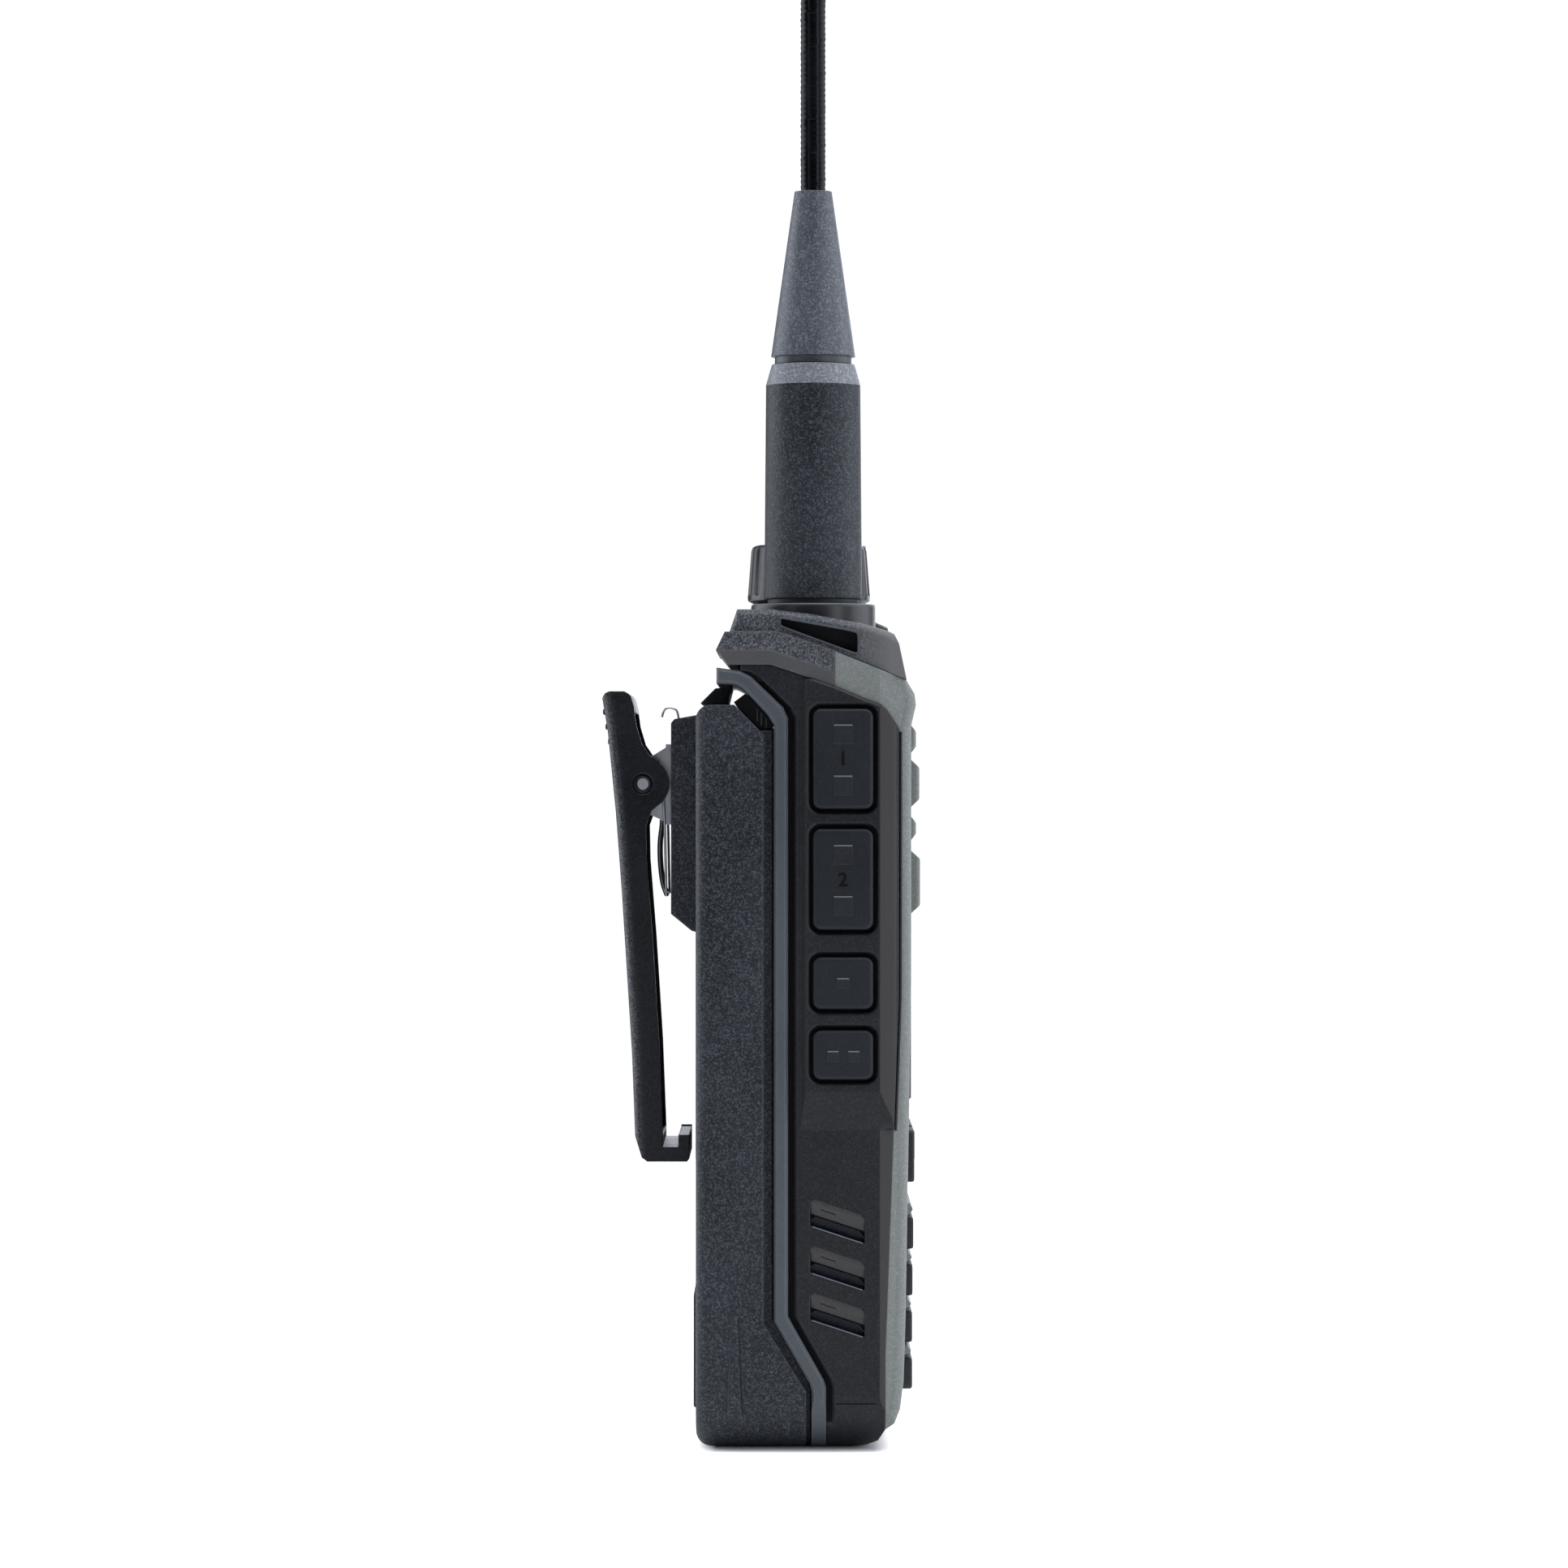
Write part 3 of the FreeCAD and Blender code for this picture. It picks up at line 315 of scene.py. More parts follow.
FINISHES = {               # the record's slots whose material is moulded
    "grain_black": dict(dark=(0.0015, 0.003, 0.0055), light=(0.115, 0.127, 0.15), rough=0.5, grain_mm=0.22,
                        depth_mm=0.05, fleck=0.45, wear=0.5, edge_mm=0.45, specular=0.32),
    "side_black": dict(dark=(0.002, 0.003, 0.0045), light=(0.04, 0.044, 0.05), rough=0.42, grain_mm=0.2,
                       depth_mm=0.02, fleck=0.3, wear=0.9, edge_mm=0.4, specular=0.32),
    "cover_grey": dict(dark=(0.155, 0.166, 0.155), light=(0.3, 0.315, 0.3), rough=0.48, grain_mm=0.22,
                       depth_mm=0.012, fleck=0.4, wear=0.35, edge_mm=0.35),
    "band_grey": dict(dark=(0.06, 0.058, 0.06), light=(0.14, 0.138, 0.14), rough=0.4, grain_mm=0.14,
                      depth_mm=0.003, fleck=0.15, wear=0.35, edge_mm=0.3),
    "frame_grey": dict(dark=(0.05, 0.058, 0.067), light=(0.19, 0.205, 0.225), rough=0.4, grain_mm=0.14,
                       depth_mm=0.005, fleck=0.12, wear=0.6, edge_mm=0.4),
    "button_rubber": dict(dark=(0.0015, 0.003, 0.006), light=(0.035, 0.044, 0.054), rough=0.5, grain_mm=0.18,
                          depth_mm=0.006, fleck=0.16, wear=0.7, edge_mm=0.45, specular=0.35),
    "key_rubber": dict(dark=(0.01, 0.01, 0.011), light=(0.05, 0.05, 0.052), rough=0.55, grain_mm=0.15,
                       depth_mm=0.008, fleck=0.2, wear=0.3, edge_mm=0.2),
    "soft_rubber": dict(dark=(0.035, 0.042, 0.054), light=(0.24, 0.255, 0.29), rough=0.42, grain_mm=0.22,
                        depth_mm=0.05, fleck=0.45, wear=0.4, edge_mm=0.2),
    "knob_black": dict(dark=(0.006, 0.006, 0.0075), light=(0.05, 0.05, 0.052), rough=0.32, grain_mm=0.14,
                       depth_mm=0.005, fleck=0.15, wear=0.5, edge_mm=0.25),
    "foam_black": dict(dark=(0.006, 0.006, 0.006), light=(0.02, 0.02, 0.02), rough=0.7, grain_mm=0.3,
                       depth_mm=0.03, fleck=0.3, wear=0.1, edge_mm=0.2),
    "cell_wrap": dict(dark=(0.02, 0.08, 0.2), light=(0.1, 0.2, 0.35), rough=0.3, grain_mm=0.4,
                      depth_mm=0.01, fleck=0.2, wear=0.2, edge_mm=0.3),
    "panel": dict(dark=(0.045, 0.055, 0.045), light=(0.08, 0.09, 0.08), rough=0.3, grain_mm=0.3,
                  depth_mm=0.002, fleck=0.2, wear=0.1, edge_mm=0.2),
}
MATERIALS = {slot: moulded(slot, **finish) for slot, finish in FINISHES.items()}
MATERIALS |= {
    "whip_gloss": glossy_sleeve(),
    "clip_black": clip_plastic(),
    "steel": metal("steel", (0.6, 0.62, 0.65), 0.3),
    "zinc": metal("zinc", (0.5, 0.5, 0.49), 0.34),
    "gold": metal("gold", (0.83, 0.62, 0.28), 0.25),
    "circuit": circuit(),
    "mesh_black": woven_mesh(),
    "screen": screen_glass(),
    "lamp": lamp_lens(),
}

# Finishes of the fine pieces.
WHITE_PRINT = printed("white_print", (0.55, 0.57, 0.58))
# Dark print, also used as painted shade in the grooves beside the rear plate.
DARK_PRINT_AND_SHADE = printed("dark_print_and_shade", (0.003, 0.003, 0.004))
RIB_GREY = moulded("rib_grey", dark=(0.03, 0.036, 0.043), light=(0.09, 0.1, 0.115), rough=0.4, grain_mm=0.16,
                   depth_mm=0.004, fleck=0.3, wear=0.4, edge_mm=0.1)
LATCH_BLACK = moulded("latch_black", dark=(0.003, 0.003, 0.004), light=(0.03, 0.033, 0.045), rough=0.25,
                      grain_mm=0.3, depth_mm=0.004, fleck=0.1, wear=0.3, edge_mm=0.2, specular=0.35)
POCKET_BLACK = moulded("pocket_black", dark=(0.0008, 0.0015, 0.0035), light=(0.012, 0.02, 0.036), rough=0.34,
                       grain_mm=0.3, depth_mm=0.05, fleck=0.4, wear=0.3, edge_mm=0.12, specular=0.2)
PAD_FACE = moulded("pad_face", dark=(0.003, 0.0045, 0.008), light=(0.045, 0.055, 0.068), rough=0.46,
                   grain_mm=0.16, depth_mm=0.006, fleck=0.16, wear=1.0, edge_mm=0.12, specular=0.38)
# Painted highlight: bright lines on the pads' upper edges, the plinth's top edge and the grip pockets' lower
# edges.
PAINTED_HIGHLIGHT = moulded("painted_highlight", dark=(0.1, 0.115, 0.13), light=(0.2, 0.22, 0.24), rough=0.4, grain_mm=0.2,
                     depth_mm=0.006, fleck=0.3, wear=0.3, edge_mm=0.05)
# Used for painted highlights on the battery's pull ridges and the shoulder windows' rims, and for painted
# shade in the antenna's neck groove.
RIM_GREY = moulded("rim_grey", dark=(0.035, 0.04, 0.048), light=(0.12, 0.13, 0.14), rough=0.4, grain_mm=0.2,
                   depth_mm=0.01, fleck=0.3, wear=0.3, edge_mm=0.1)
# Painted light: a paler grey for the facets in the grip recesses.
FACET_PAINTED_LIGHT = moulded("facet_painted_light", dark=(0.03, 0.0285, 0.0275), light=(0.06, 0.058, 0.055), rough=0.42,
                     grain_mm=0.2, depth_mm=0.006, fleck=0.3, wear=0.3, edge_mm=0.3, specular=0.4)
NECK_GREY = moulded("neck_grey", dark=(0.12, 0.132, 0.145), light=(0.4, 0.42, 0.45), rough=0.5, grain_mm=0.26,
                    depth_mm=0.05, fleck=0.5, wear=0.3, edge_mm=0.2)

# Nodes whose finish differs a little from their slot's.
NODE_LOOKS = {
    "top_cap": cap_plastic(),
    # The housing's front tint is painted light on the faces turned towards the keypad side.
    "main_housing": moulded("housing_black", **FINISHES["side_black"], front_painted_light=(0.035, 0.033, 0.031)),
}

for part in frame["record"]["subparts"]:
    materials = NODES[part["node"]].data.materials
    materials.clear()
    materials.append(NODE_LOOKS.get(part["node"], MATERIALS[part["material_slot"]]))


# ---- Mesh helpers -------------------------------------------------------------------------

def place_piece(name, mesh, body, slot, material=None):
    """Puts a mesh in the scene as a piece that rides on a body and takes its finish from a slot."""
    piece = bpy.data.objects.new(name, mesh)
    bpy.context.scene.collection.objects.link(piece)
    mesh.materials.clear()
    mesh.materials.append(material or MATERIALS[slot])
    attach(piece, body)
    return piece


def finish_piece(name, bm, body, slot, material=None, smooth_deg=35.0):
    """Turns a bmesh into a piece, with edges sharper than smooth_deg left sharp."""
    bmesh.ops.recalc_face_normals(bm, faces=bm.faces)
    mesh = bpy.data.meshes.new(name)
    bm.to_mesh(mesh)
    bm.free()
    mesh.shade_smooth()
    mesh.set_sharp_from_angle(angle=math.radians(smooth_deg))
    return place_piece(name, mesh, body, slot, material)


def block(bm, low, high, bevel=0.0):
    """A box, with softened edges where a bevel is given."""
    low, high = Vector(low), Vector(high)
    made = bmesh.ops.create_cube(bm, size=1.0)["verts"]
    bmesh.ops.scale(bm, vec=high - low, verts=made)
    bmesh.ops.translate(bm, vec=(low + high) / 2, verts=made)
    if bevel:
        edges = list({edge for vert in made for edge in vert.link_edges})
        bmesh.ops.bevel(bm, geom=edges, offset=bevel, segments=2, profile=0.5, affect="EDGES")


def lathe(bm, profile, centre, steps=64, shape=None):
    """Revolves (radius, height) points about an upright axis; shape(angle, z) scales the radius."""
    rings = []
    for radius, z in profile:
        ring = []
        for step in range(steps):
            turn = 2 * math.pi * step / steps
            r = radius * (shape(turn, z) if shape else 1.0)
            ring.append(bm.verts.new((centre[0] + r * math.cos(turn), centre[1] + r * math.sin(turn), z)))
        rings.append(ring)
    join_rings(bm, rings)
    bm.faces.new(rings[0][::-1])
    bm.faces.new(rings[-1])


def join_rings(bm, rings):
    """Side faces between closed rings of the same number of points."""
    for first, second in zip(rings, rings[1:]):
        for i in range(len(first)):
            after = (i + 1) % len(first)
            bm.faces.new((first[i], first[after], second[after], second[i]))


def bar_across(bm, outline, x_low, x_high):
    """A Y-Z outline in mm, pushed along X."""
    near = [bm.verts.new((x_low, y * MM, z * MM)) for y, z in outline]
    far = [bm.verts.new((x_high, y * MM, z * MM)) for y, z in outline]
    bm.faces.new(near)
    bm.faces.new(far[::-1])
    join_rings(bm, [near, far])


def mesh_of(name, curve):
    """The mesh that a curve or text makes."""
    holder = bpy.data.objects.new(name + "_curve", curve)
    mesh = bpy.data.meshes.new_from_object(holder)
    mesh.name = name
    bpy.data.objects.remove(holder)
    return mesh


def wire(name, points, radius, body, slot, cyclic=False, smooth=True, material=None):
    """A round wire through the points, turned into a mesh."""
    curve = bpy.data.curves.new(name, "CURVE")
    curve.dimensions = "3D"
    curve.bevel_depth = radius
    curve.bevel_resolution = 4
    curve.resolution_u = 6
    curve.use_fill_caps = True
    spline = curve.splines.new("NURBS" if smooth else "POLY")
    spline.points.add(len(points) - 1)
    for point, place in zip(spline.points, points):
        point.co = (*place, 1.0)
    if smooth:
        spline.order_u = 3
        spline.use_endpoint_u = not cyclic
    spline.use_cyclic_u = cyclic
    mesh = mesh_of(name, curve)
    mesh.shade_smooth()
    return place_piece(name, mesh, body, slot, material)


def characters(name, text, height, centre, facing, body, slot, material, depth=0.06 * MM):
    """Plain digits or signs standing just proud of a face that looks along -X or -Y."""
    curve = bpy.data.curves.new(name, "FONT")
    curve.body = text
    curve.size = height * 1.4      # a digit is about 0.7 of the font's size tall
    curve.align_x = "CENTER"
    curve.align_y = "CENTER"
    curve.extrude = depth
    curve.offset = height * 0.025  # slightly bold
    curve.resolution_u = 3
    mesh = mesh_of(name, curve)
    turn = {"-X": -math.pi / 2, "-Y": 0.0}[facing]
    upright = Matrix.Rotation(turn, 4, "Z") @ Matrix.Rotation(math.pi / 2, 4, "X")
    mesh.transform(Matrix.Translation(centre) @ upright)
    return place_piece(name, mesh, body, slot, material)


def middle(node):
    low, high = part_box(node)
    return (Vector(low) + Vector(high)) / 2


# ---- Antenna ------------------------------------------------------------------------------

def antenna_whip():
    """Glossy sleeve shrunk over a spring, so the turns show as ridges, with a moulded tip."""
    low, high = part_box("antenna_whip")
    axis = middle("antenna_cone")
    radius, tip_length = 1.78 * MM, 7.0 * MM
    ridge_pitch, ridge_height, steps_per_ridge = 0.82 * MM, 0.07 * MM, 6
    lump_pitch, lump_height, lump_sharpness = 5.2 * MM, 0.05 * MM, 12

    def ridges(turn, z):
        """Every turn of the spring is a ridge, and every few turns a narrow lump stands out further."""
        ridge = 0.5 + 0.5 * math.cos(2 * math.pi * z / ridge_pitch - turn)
        lump = max(0.0, math.cos(2 * math.pi * z / lump_pitch - turn)) ** lump_sharpness
        return 1 + (ridge_height * ridge + lump_height * lump) / radius

    start, end = low[2], high[2] - tip_length
    steps = round((end - start) / (ridge_pitch / steps_per_ridge))
    bm = bmesh.new()
    lathe(bm, [(radius, start + (end - start) * i / steps) for i in range(steps + 1)], axis, 28, ridges)
    piece = finish_piece("whip_sleeve", bm, "antenna", "whip_gloss", smooth_deg=80)

    wide, dome, dome_steps = radius + 0.5 * MM, 1.6 * MM, 6
    profile = [(radius, end - 0.4 * MM), (wide, end), (wide, high[2] - dome)]
    for step in range(1, dome_steps + 1):
        turn = math.pi / 2 * step / (dome_steps + 0.2)
        profile.append((wide - dome + dome * math.cos(turn), high[2] - dome + dome * math.sin(turn)))
    bm = bmesh.new()
    lathe(bm, profile, axis, 40)
    tip_piece = finish_piece("whip_tip", bm, "antenna", "soft_rubber")
    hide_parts("antenna_whip")
    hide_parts("antenna_whip")


def antenna_neck():
    """The paler speckled shoulder at the top of the antenna's foot, and a darker ring of painted shade in the
    groove above it.
    """
    axis = middle("antenna_cone")
    sleeve = [(6.6, 155.0), (6.98, 155.45), (6.13, 158.45), (5.7, 158.5)]  # radius and height
    # Painted shade: a darker ring filling the groove.
    groove = [(5.2, 158.55), (5.66, 158.6), (5.66, 159.6), (5.2, 159.65)]
    for name, profile, slot, material in (("neck_sleeve", sleeve, "grain_black", NECK_GREY),
                                          ("neck_groove_shade", groove, "soft_rubber", RIM_GREY)):
        bm = bmesh.new()
        lathe(bm, [(radius * MM, z * MM) for radius, z in profile], axis)
        finish_piece(name, bm, "antenna", slot, material)


def collar_rim():
    """Painted highlight: a bright line round the top edge of the antenna's plinth."""
    centre, top = middle("antenna_collar"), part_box("antenna_collar")[1][2]
    radius, drop, steps = 8.98 * MM, 0.17 * MM, 48
    turns = [2 * math.pi * step / steps for step in range(steps)]
    loop = [(centre.x + radius * math.cos(turn), centre.y + radius * math.sin(turn), top - drop)
            for turn in turns]
    wire("collar_rim", loop, 0.15 * MM, "housing", "knob_black", cyclic=True, material=PAINTED_HIGHLIGHT)


# ---- Knob ---------------------------------------------------------------------------------

def volume_knob():
    """Fluted knob with a dished top and a pointer line."""
    low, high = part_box("volume_knob")
    centre = middle("volume_knob")
    bottom, top = low[2], high[2]
    wide = (high[0] - low[0]) / 2
    flutes, flute_depth, flute_round, flute_foot = 18, 0.055, 0.6, 1.3 * MM

    def fluted(turn, z):
        """Rounded flutes above a plain foot."""
        wave = max(0.0, math.cos(flutes * turn))
        return 1 - flute_depth * wave ** flute_round if z > bottom + flute_foot else 1.0

    foot = [(1.0, 0.0), (0.1, 0.5), (0.05, 1.2), (0.1, 1.5)]  # inset, and height above the bottom
    head = [(0.6, 0.9), (0.8, 0.35), (1.3, 0.05), (1.9, 0.0), (2.4, 0.05), (2.9, 0.45)]  # inset, drop
    profile = [(wide - inset * MM, bottom + height * MM) for inset, height in foot]
    profile += [(wide - inset * MM, top - drop * MM) for inset, drop in head]
    bm = bmesh.new()
    lathe(bm, profile, centre, 10 * flutes, fluted)
    knob = finish_piece("knob_cap", bm, "knob", "knob_black", smooth_deg=50)

    half, rim, start, thick, sunk = 0.35 * MM, 0.7 * MM, 2.0 * MM, 0.5 * MM, 0.02 * MM
    bm = bmesh.new()
    block(bm, (centre.x - half, low[1] + rim, top - thick),
          (centre.x + half, centre.y - start, top - sunk), 0.1 * MM)
    finish_piece("knob_pointer", bm, "knob", "knob_black", WHITE_PRINT)
    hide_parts("volume_knob")


# ---- Side buttons -------------------------------------------------------------------------

def pads_on(button, places, width, height):
    """Square pads on a side button, each with a painted highlight along its upper edge."""
    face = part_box(button)[0][0]
    proud, edge_proud, sunk = 0.08 * MM, 0.095 * MM, 0.1 * MM
    edge_inset, edge_high, edge_low = 0.1 * MM, 0.02 * MM, 0.24 * MM
    pads, edges = bmesh.new(), bmesh.new()
    for y, z in places:
        rear, front, top = y + width / 2, y - width / 2, z + height / 2
        block(pads, (face - proud, front, z - height / 2), (face + sunk, rear, top), 0.07 * MM)
        block(edges, (face - edge_proud, front + edge_inset, top - edge_low),
              (face + sunk, rear - edge_inset, top - edge_high), 0.05 * MM)
    finish_piece(button + "_pads", pads, button + "_body", "button_rubber", PAD_FACE, smooth_deg=20)
    finish_piece(button + "_pad_highlights", edges, button + "_body", "button_rubber", PAINTED_HIGHLIGHT, smooth_deg=20)


def side_marks():
    """Raised pads and plain numbers on the push-to-talk buttons and side keys."""
    pad_size, pad_up, pad_down = 2.9 * MM, 3.55 * MM, 3.85 * MM
    for button, number, drop in (("ptt_button_a", "1", 0.05 * MM), ("ptt_button_b", "2", 0.15 * MM)):
        face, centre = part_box(button)[0][0], middle(button)
        places = [(centre.y, centre.z + pad_up), (centre.y, centre.z - pad_down)]
        pads_on(button, places, pad_size, pad_size)
        place = (face - 0.04 * MM, centre.y, centre.z - drop)
        characters(button + "_number", number, 2.0 * MM, place, "-X", button + "_body", "button_rubber",
                   DARK_PRINT_AND_SHADE)
    centre = middle("side_key_upper")
    pads_on("side_key_upper", [(centre.y, centre.z)], width=1.9 * MM, height=1.6 * MM)
    centre = middle("side_key_lower")
    places = [(centre.y + 1.45 * MM, centre.z - 0.2 * MM), (centre.y - 1.55 * MM, centre.z - 0.2 * MM)]
    pads_on("side_key_lower", places, width=1.8 * MM, height=1.7 * MM)


# ---- Keypad and display -------------------------------------------------------------------

def key_legends():
    """Generic digits and plain signs on the keys."""
    signs = {"key_star": "*", "key_hash": "#", "key_up": "+", "key_down": "-", "key_menu": "=",
             "key_exit": "x"}
    legends = {f"key_{digit}": str(digit) for digit in range(10)} | signs
    for key, text in legends.items():
        face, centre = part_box(key)[0][1], middle(key)
        drop = 0.7 * MM if text == "*" else 0.0  # a star sits high in its line
        place = (centre.x, face - 0.01 * MM, centre.z - drop)
        characters(key + "_legend", text, 2.3 * MM, place, "-Y", key + "_body", "key_rubber", WHITE_PRINT,
                   0.03 * MM)


# The bars that each digit lights, named as on any seven-segment display.
SEGMENTS = {"0": "abcdef", "1": "bc", "4": "bcfg", "5": "acdfg", "6": "acdefg", "9": "abcdfg"}


def seven_segments(bm, digit, x, z, width, height, face):
    """One digit of a seven-segment display, drawn as thin bars."""
    half, bar, thick = height / 2, 0.45 * MM, 0.03 * MM
    lying, standing = (width / 2 - bar * 0.7, bar / 2), (bar / 2, half / 2 - bar * 0.7)
    bars = {
        "a": (0, half, lying), "g": (0, 0, lying), "d": (0, -half, lying),
        "f": (-width / 2, half / 2, standing), "b": (width / 2, half / 2, standing),
        "e": (-width / 2, -half / 2, standing), "c": (width / 2, -half / 2, standing),
    }
    for segment in SEGMENTS[digit]:
        dx, dz, (reach_x, reach_z) = bars[segment]
        block(bm, (x + dx - reach_x, face, z + dz - reach_z),
              (x + dx + reach_x, face + thick, z + dz + reach_z))


def display_details():
    """The visible screen inside its dark border, and faint liquid crystal digits."""
    low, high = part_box("display_lens")
    face, border = low[1] - 0.02 * MM, 2.6 * MM
    bm = bmesh.new()
    block(bm, (low[0] + border, face, low[2] + border),
          (high[0] - border, face + 0.05 * MM, high[2] - border), 0.02 * MM)
    finish_piece("display_window", bm, "housing", "panel")

    first, pitch, width, height = 7.0, 5.0, 2.6 * MM, 4.2 * MM
    bm = bmesh.new()
    for digits, z in (("446095", high[2] - 8.0 * MM), ("145500", low[2] + 7.0 * MM)):
        for place, digit in enumerate(digits):
            x = low[0] + (first + pitch * place) * MM
            seven_segments(bm, digit, x, z, width, height, face - 0.015 * MM)
    finish_piece("display_digits", bm, "housing", "panel", DARK_PRINT_AND_SHADE)


# ---- Belt clip ----------------------------------------------------------------------------

def across(x, outline):
    """Points in metres at one X, from Y-Z points in mm."""
    return [(x, y * MM, z * MM) for y, z in outline]


def clip_spring():
    """Torsion spring: close turns round the pin and a long wire loop against the block."""
    pin = middle("clip_pin")
    coil_radius, turns, steps, half = 1.85 * MM, 6, 16, 5.4 * MM
    points = []
    for i in range(turns * steps + 1):
        turn = 2 * math.pi * i / steps
        x = -half + 2 * half * i / (turns * steps)
        points.append((x, pin.y - coil_radius * math.cos(turn), pin.z + coil_radius * math.sin(turn)))
    coil = wire("spring_coil", points, 0.42 * MM, "battery", "steel")

    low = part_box("clip_spring")[0]
    # Y and Z, in mm, of the loop's legs, of the thin wires outside them and of the hook on the block.
    leg = [(19.9, 94.9), (19.7, 91.4), (20.2, 88.4), (20.15, 85.0), (19.8, 82.0), (19.2, 80.4)]
    thin = [(19.5, 95.6), (19.25, 92.0), (19.1, 84.0), (19.0, 80.2)]
    hook = [(19.7, 106.7), (19.5, 107.8), (18.7, 108.2), (17.6, 107.9), (17.3, 107.1), (17.2, 106.2)]
    loop = across(-half, leg) + [(-half + 1.2 * MM, low[1] + 0.5 * MM, low[2] + 0.5 * MM)]
    loop += [(-x, y, z) for x, y, z in loop[::-1]]
    wire("spring_loop", loop, 0.3 * MM, "battery", "steel")
    for name, side in SIDES:
        wire("spring_rest_" + name, across(side * 11.6 * MM, thin), 0.2 * MM, "battery", "steel")
    wire("spring_hook", across(-9.0 * MM, hook), 0.16 * MM, "battery", "steel")
    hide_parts("clip_spring")


def clip_grips():
    """Grip ridges across the thumb tab."""
    low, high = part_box("clip_arm")
    face, lean, first, pitch = 28.35, 0.17, 3.0, 2.2  # the tab leans forward as it comes down
    inset, half, proud, sunk = 3 * MM, 0.45 * MM, 0.1 * MM, 0.5 * MM
    bm = bmesh.new()
    for step in range(5):
        drop = pitch * step
        y, z = (face - lean * drop) * MM, high[2] - (first + drop) * MM
        block(bm, (low[0] + inset, y - sunk, z - half), (high[0] - inset, y + proud, z + half), 0.2 * MM)
    finish_piece("clip_grip_ridges", bm, "belt_clip", "clip_black")


def pin_rings():
    """Dark bores round the ends of the clip's pin."""
    pin = middle("clip_pin")
    radius, steps = 1.14 * MM, 24
    turns = [2 * math.pi * step / steps for step in range(steps)]
    for name, side in SIDES:
        loop = [(side * 12.5 * MM, pin.y + radius * math.cos(turn), pin.z + radius * math.sin(turn))
                for turn in turns]
        wire("pin_ring_" + name, loop, 0.37 * MM, "belt_clip", "clip_black", cyclic=True,
             material=LATCH_BLACK)


# ---- Between the body and the battery -----------------------------------------------------

def latch_rail():
    """Glossy black rail between the rear plate and the battery's front shoulder, with upright ribs."""
    half = 25.6 * MM
    section = [(8.55, 108.3), (8.9, 108.7), (7.3, 109.9), (6.85, 109.75), (4.15, 106.8), (3.2, 105.3),
               (3.2, 104.8), (5.15, 104.8)]
    bm = bmesh.new()
    bar_across(bm, section, -half, half)
    finish_piece("latch_rail", bm, "housing", "side_black", LATCH_BLACK)

    proud, rib_half = 0.25 * MM, 0.12
    ribs = [(5.5, 105.9, 107.8), (4.9, 105.3, 107.2), (4.2, 104.9, 106.4)]  # Y, lower end, upper end
    bm = bmesh.new()
    for y, low, high in ribs:
        for x in (-half, half):
            block(bm, (x - proud, (y - rib_half) * MM, low * MM),
                  (x + proud, (y + rib_half) * MM, high * MM), 0.05 * MM)
    finish_piece("latch_ribs", bm, "housing", "side_black", RIB_GREY)


def battery_gasket():
    """Black seal that closes the line between the rear plate and the battery pack."""
    half = 20 * MM
    # Y and Z, in mm, down the front face and back up the rear face.
    front = [(3.08, 104.7), (3.08, 19.0), (2.28, 17.6), (-2.05, 10.0), (-2.42, 8.8), (-2.42, 0.35)]
    rear = [(-2.24, 0.35), (-2.24, 8.75), (-1.9, 9.9), (2.42, 17.5), (3.27, 18.95), (3.27, 104.7)]
    bm = bmesh.new()
    bar_across(bm, front + rear, -half, half)
    finish_piece("battery_gasket", bm, "housing", "side_black", LATCH_BLACK)


def ridge_lines():
    """A painted shadow in front of each pull ridge on the battery's side walls, and a painted highlight
    behind it.
    """
    for name, side in SIDES:
        # Painted shadow: a dark line in front of the ridge.
        shadow = [(side * 27.93 * MM, y * MM, z * MM) for y, z in ((8.22, RIDGE_HIGH), (7.6, RIDGE_LOW))]
        wire("ridge_shadow_" + name, shadow, 0.16 * MM, "battery", "grain_black", smooth=False,
             material=LATCH_BLACK)
        # Painted highlight: a paler line behind the ridge.
        edge = [(side * 27.95 * MM, y * MM, z * MM) for y, z in ((9.15, RIDGE_HIGH), (9.72, RIDGE_LOW))]
        wire("ridge_highlight_" + name, edge, 0.12 * MM, "battery", "grain_black", smooth=False, material=RIM_GREY)


# ---- Side walls ---------------------------------------------------------------------------

def strip_shadows():
    """Painted shade: a dark lining on the floor of the shadow lines beside the rear plate."""
    width, inside, outside = 0.85, 26.5 * MM, 26.68 * MM
    line = [(-4.55, 4.2), (-4.55, 9.3), (-4.2, 10.4), (0.15, 18.1), (0.95, 19.6), (0.95, 106.3),
            (1.65, 107.9), (5.6, 111.7)]
    outline = line + [(y - width, z) for y, z in line[::-1]]
    for name, side in SIDES:
        bm = bmesh.new()
        bar_across(bm, outline, side * inside, side * outside)
        finish_piece("strip_shadow_" + name, bm, "housing", "side_black", DARK_PRINT_AND_SHADE)


def foot_seams():
    """Fine parting line low on the housing's side walls."""
    x, z, radius = 27.74 * MM, 6.9 * MM, 0.09 * MM
    for name, side in SIDES:
        line = [(side * x, y * MM, z) for y in (-6.0, -11.8)]
        wire("foot_seam_" + name, line, radius, "housing", "side_black", smooth=False, material=DARK_PRINT_AND_SHADE)


def cover_seams():
    """Dark line where the front cover meets the side walls, beside the display and the grille."""
    line = [(26.72, -15.32, 104.4), (26.74, -15.27, 66.0), (26.94, -14.56, 46.5)]
    for name, side in SIDES:
        points = [(side * x * MM, y * MM, z * MM) for x, y, z in line]
        wire("cover_seam_" + name, points, 0.27 * MM, "housing", "side_black", smooth=False,
             material=LATCH_BLACK)


def grip_line(side, x, top, drop, start, end):
    """Two points on a line that slants with a grip recess, from start to end along it."""
    return [(side * x * MM, (GRIP_REAR - along) * MM, (top - GRIP_FALL * along / GRIP_RUN - drop) * MM)
            for along in (start, end)]


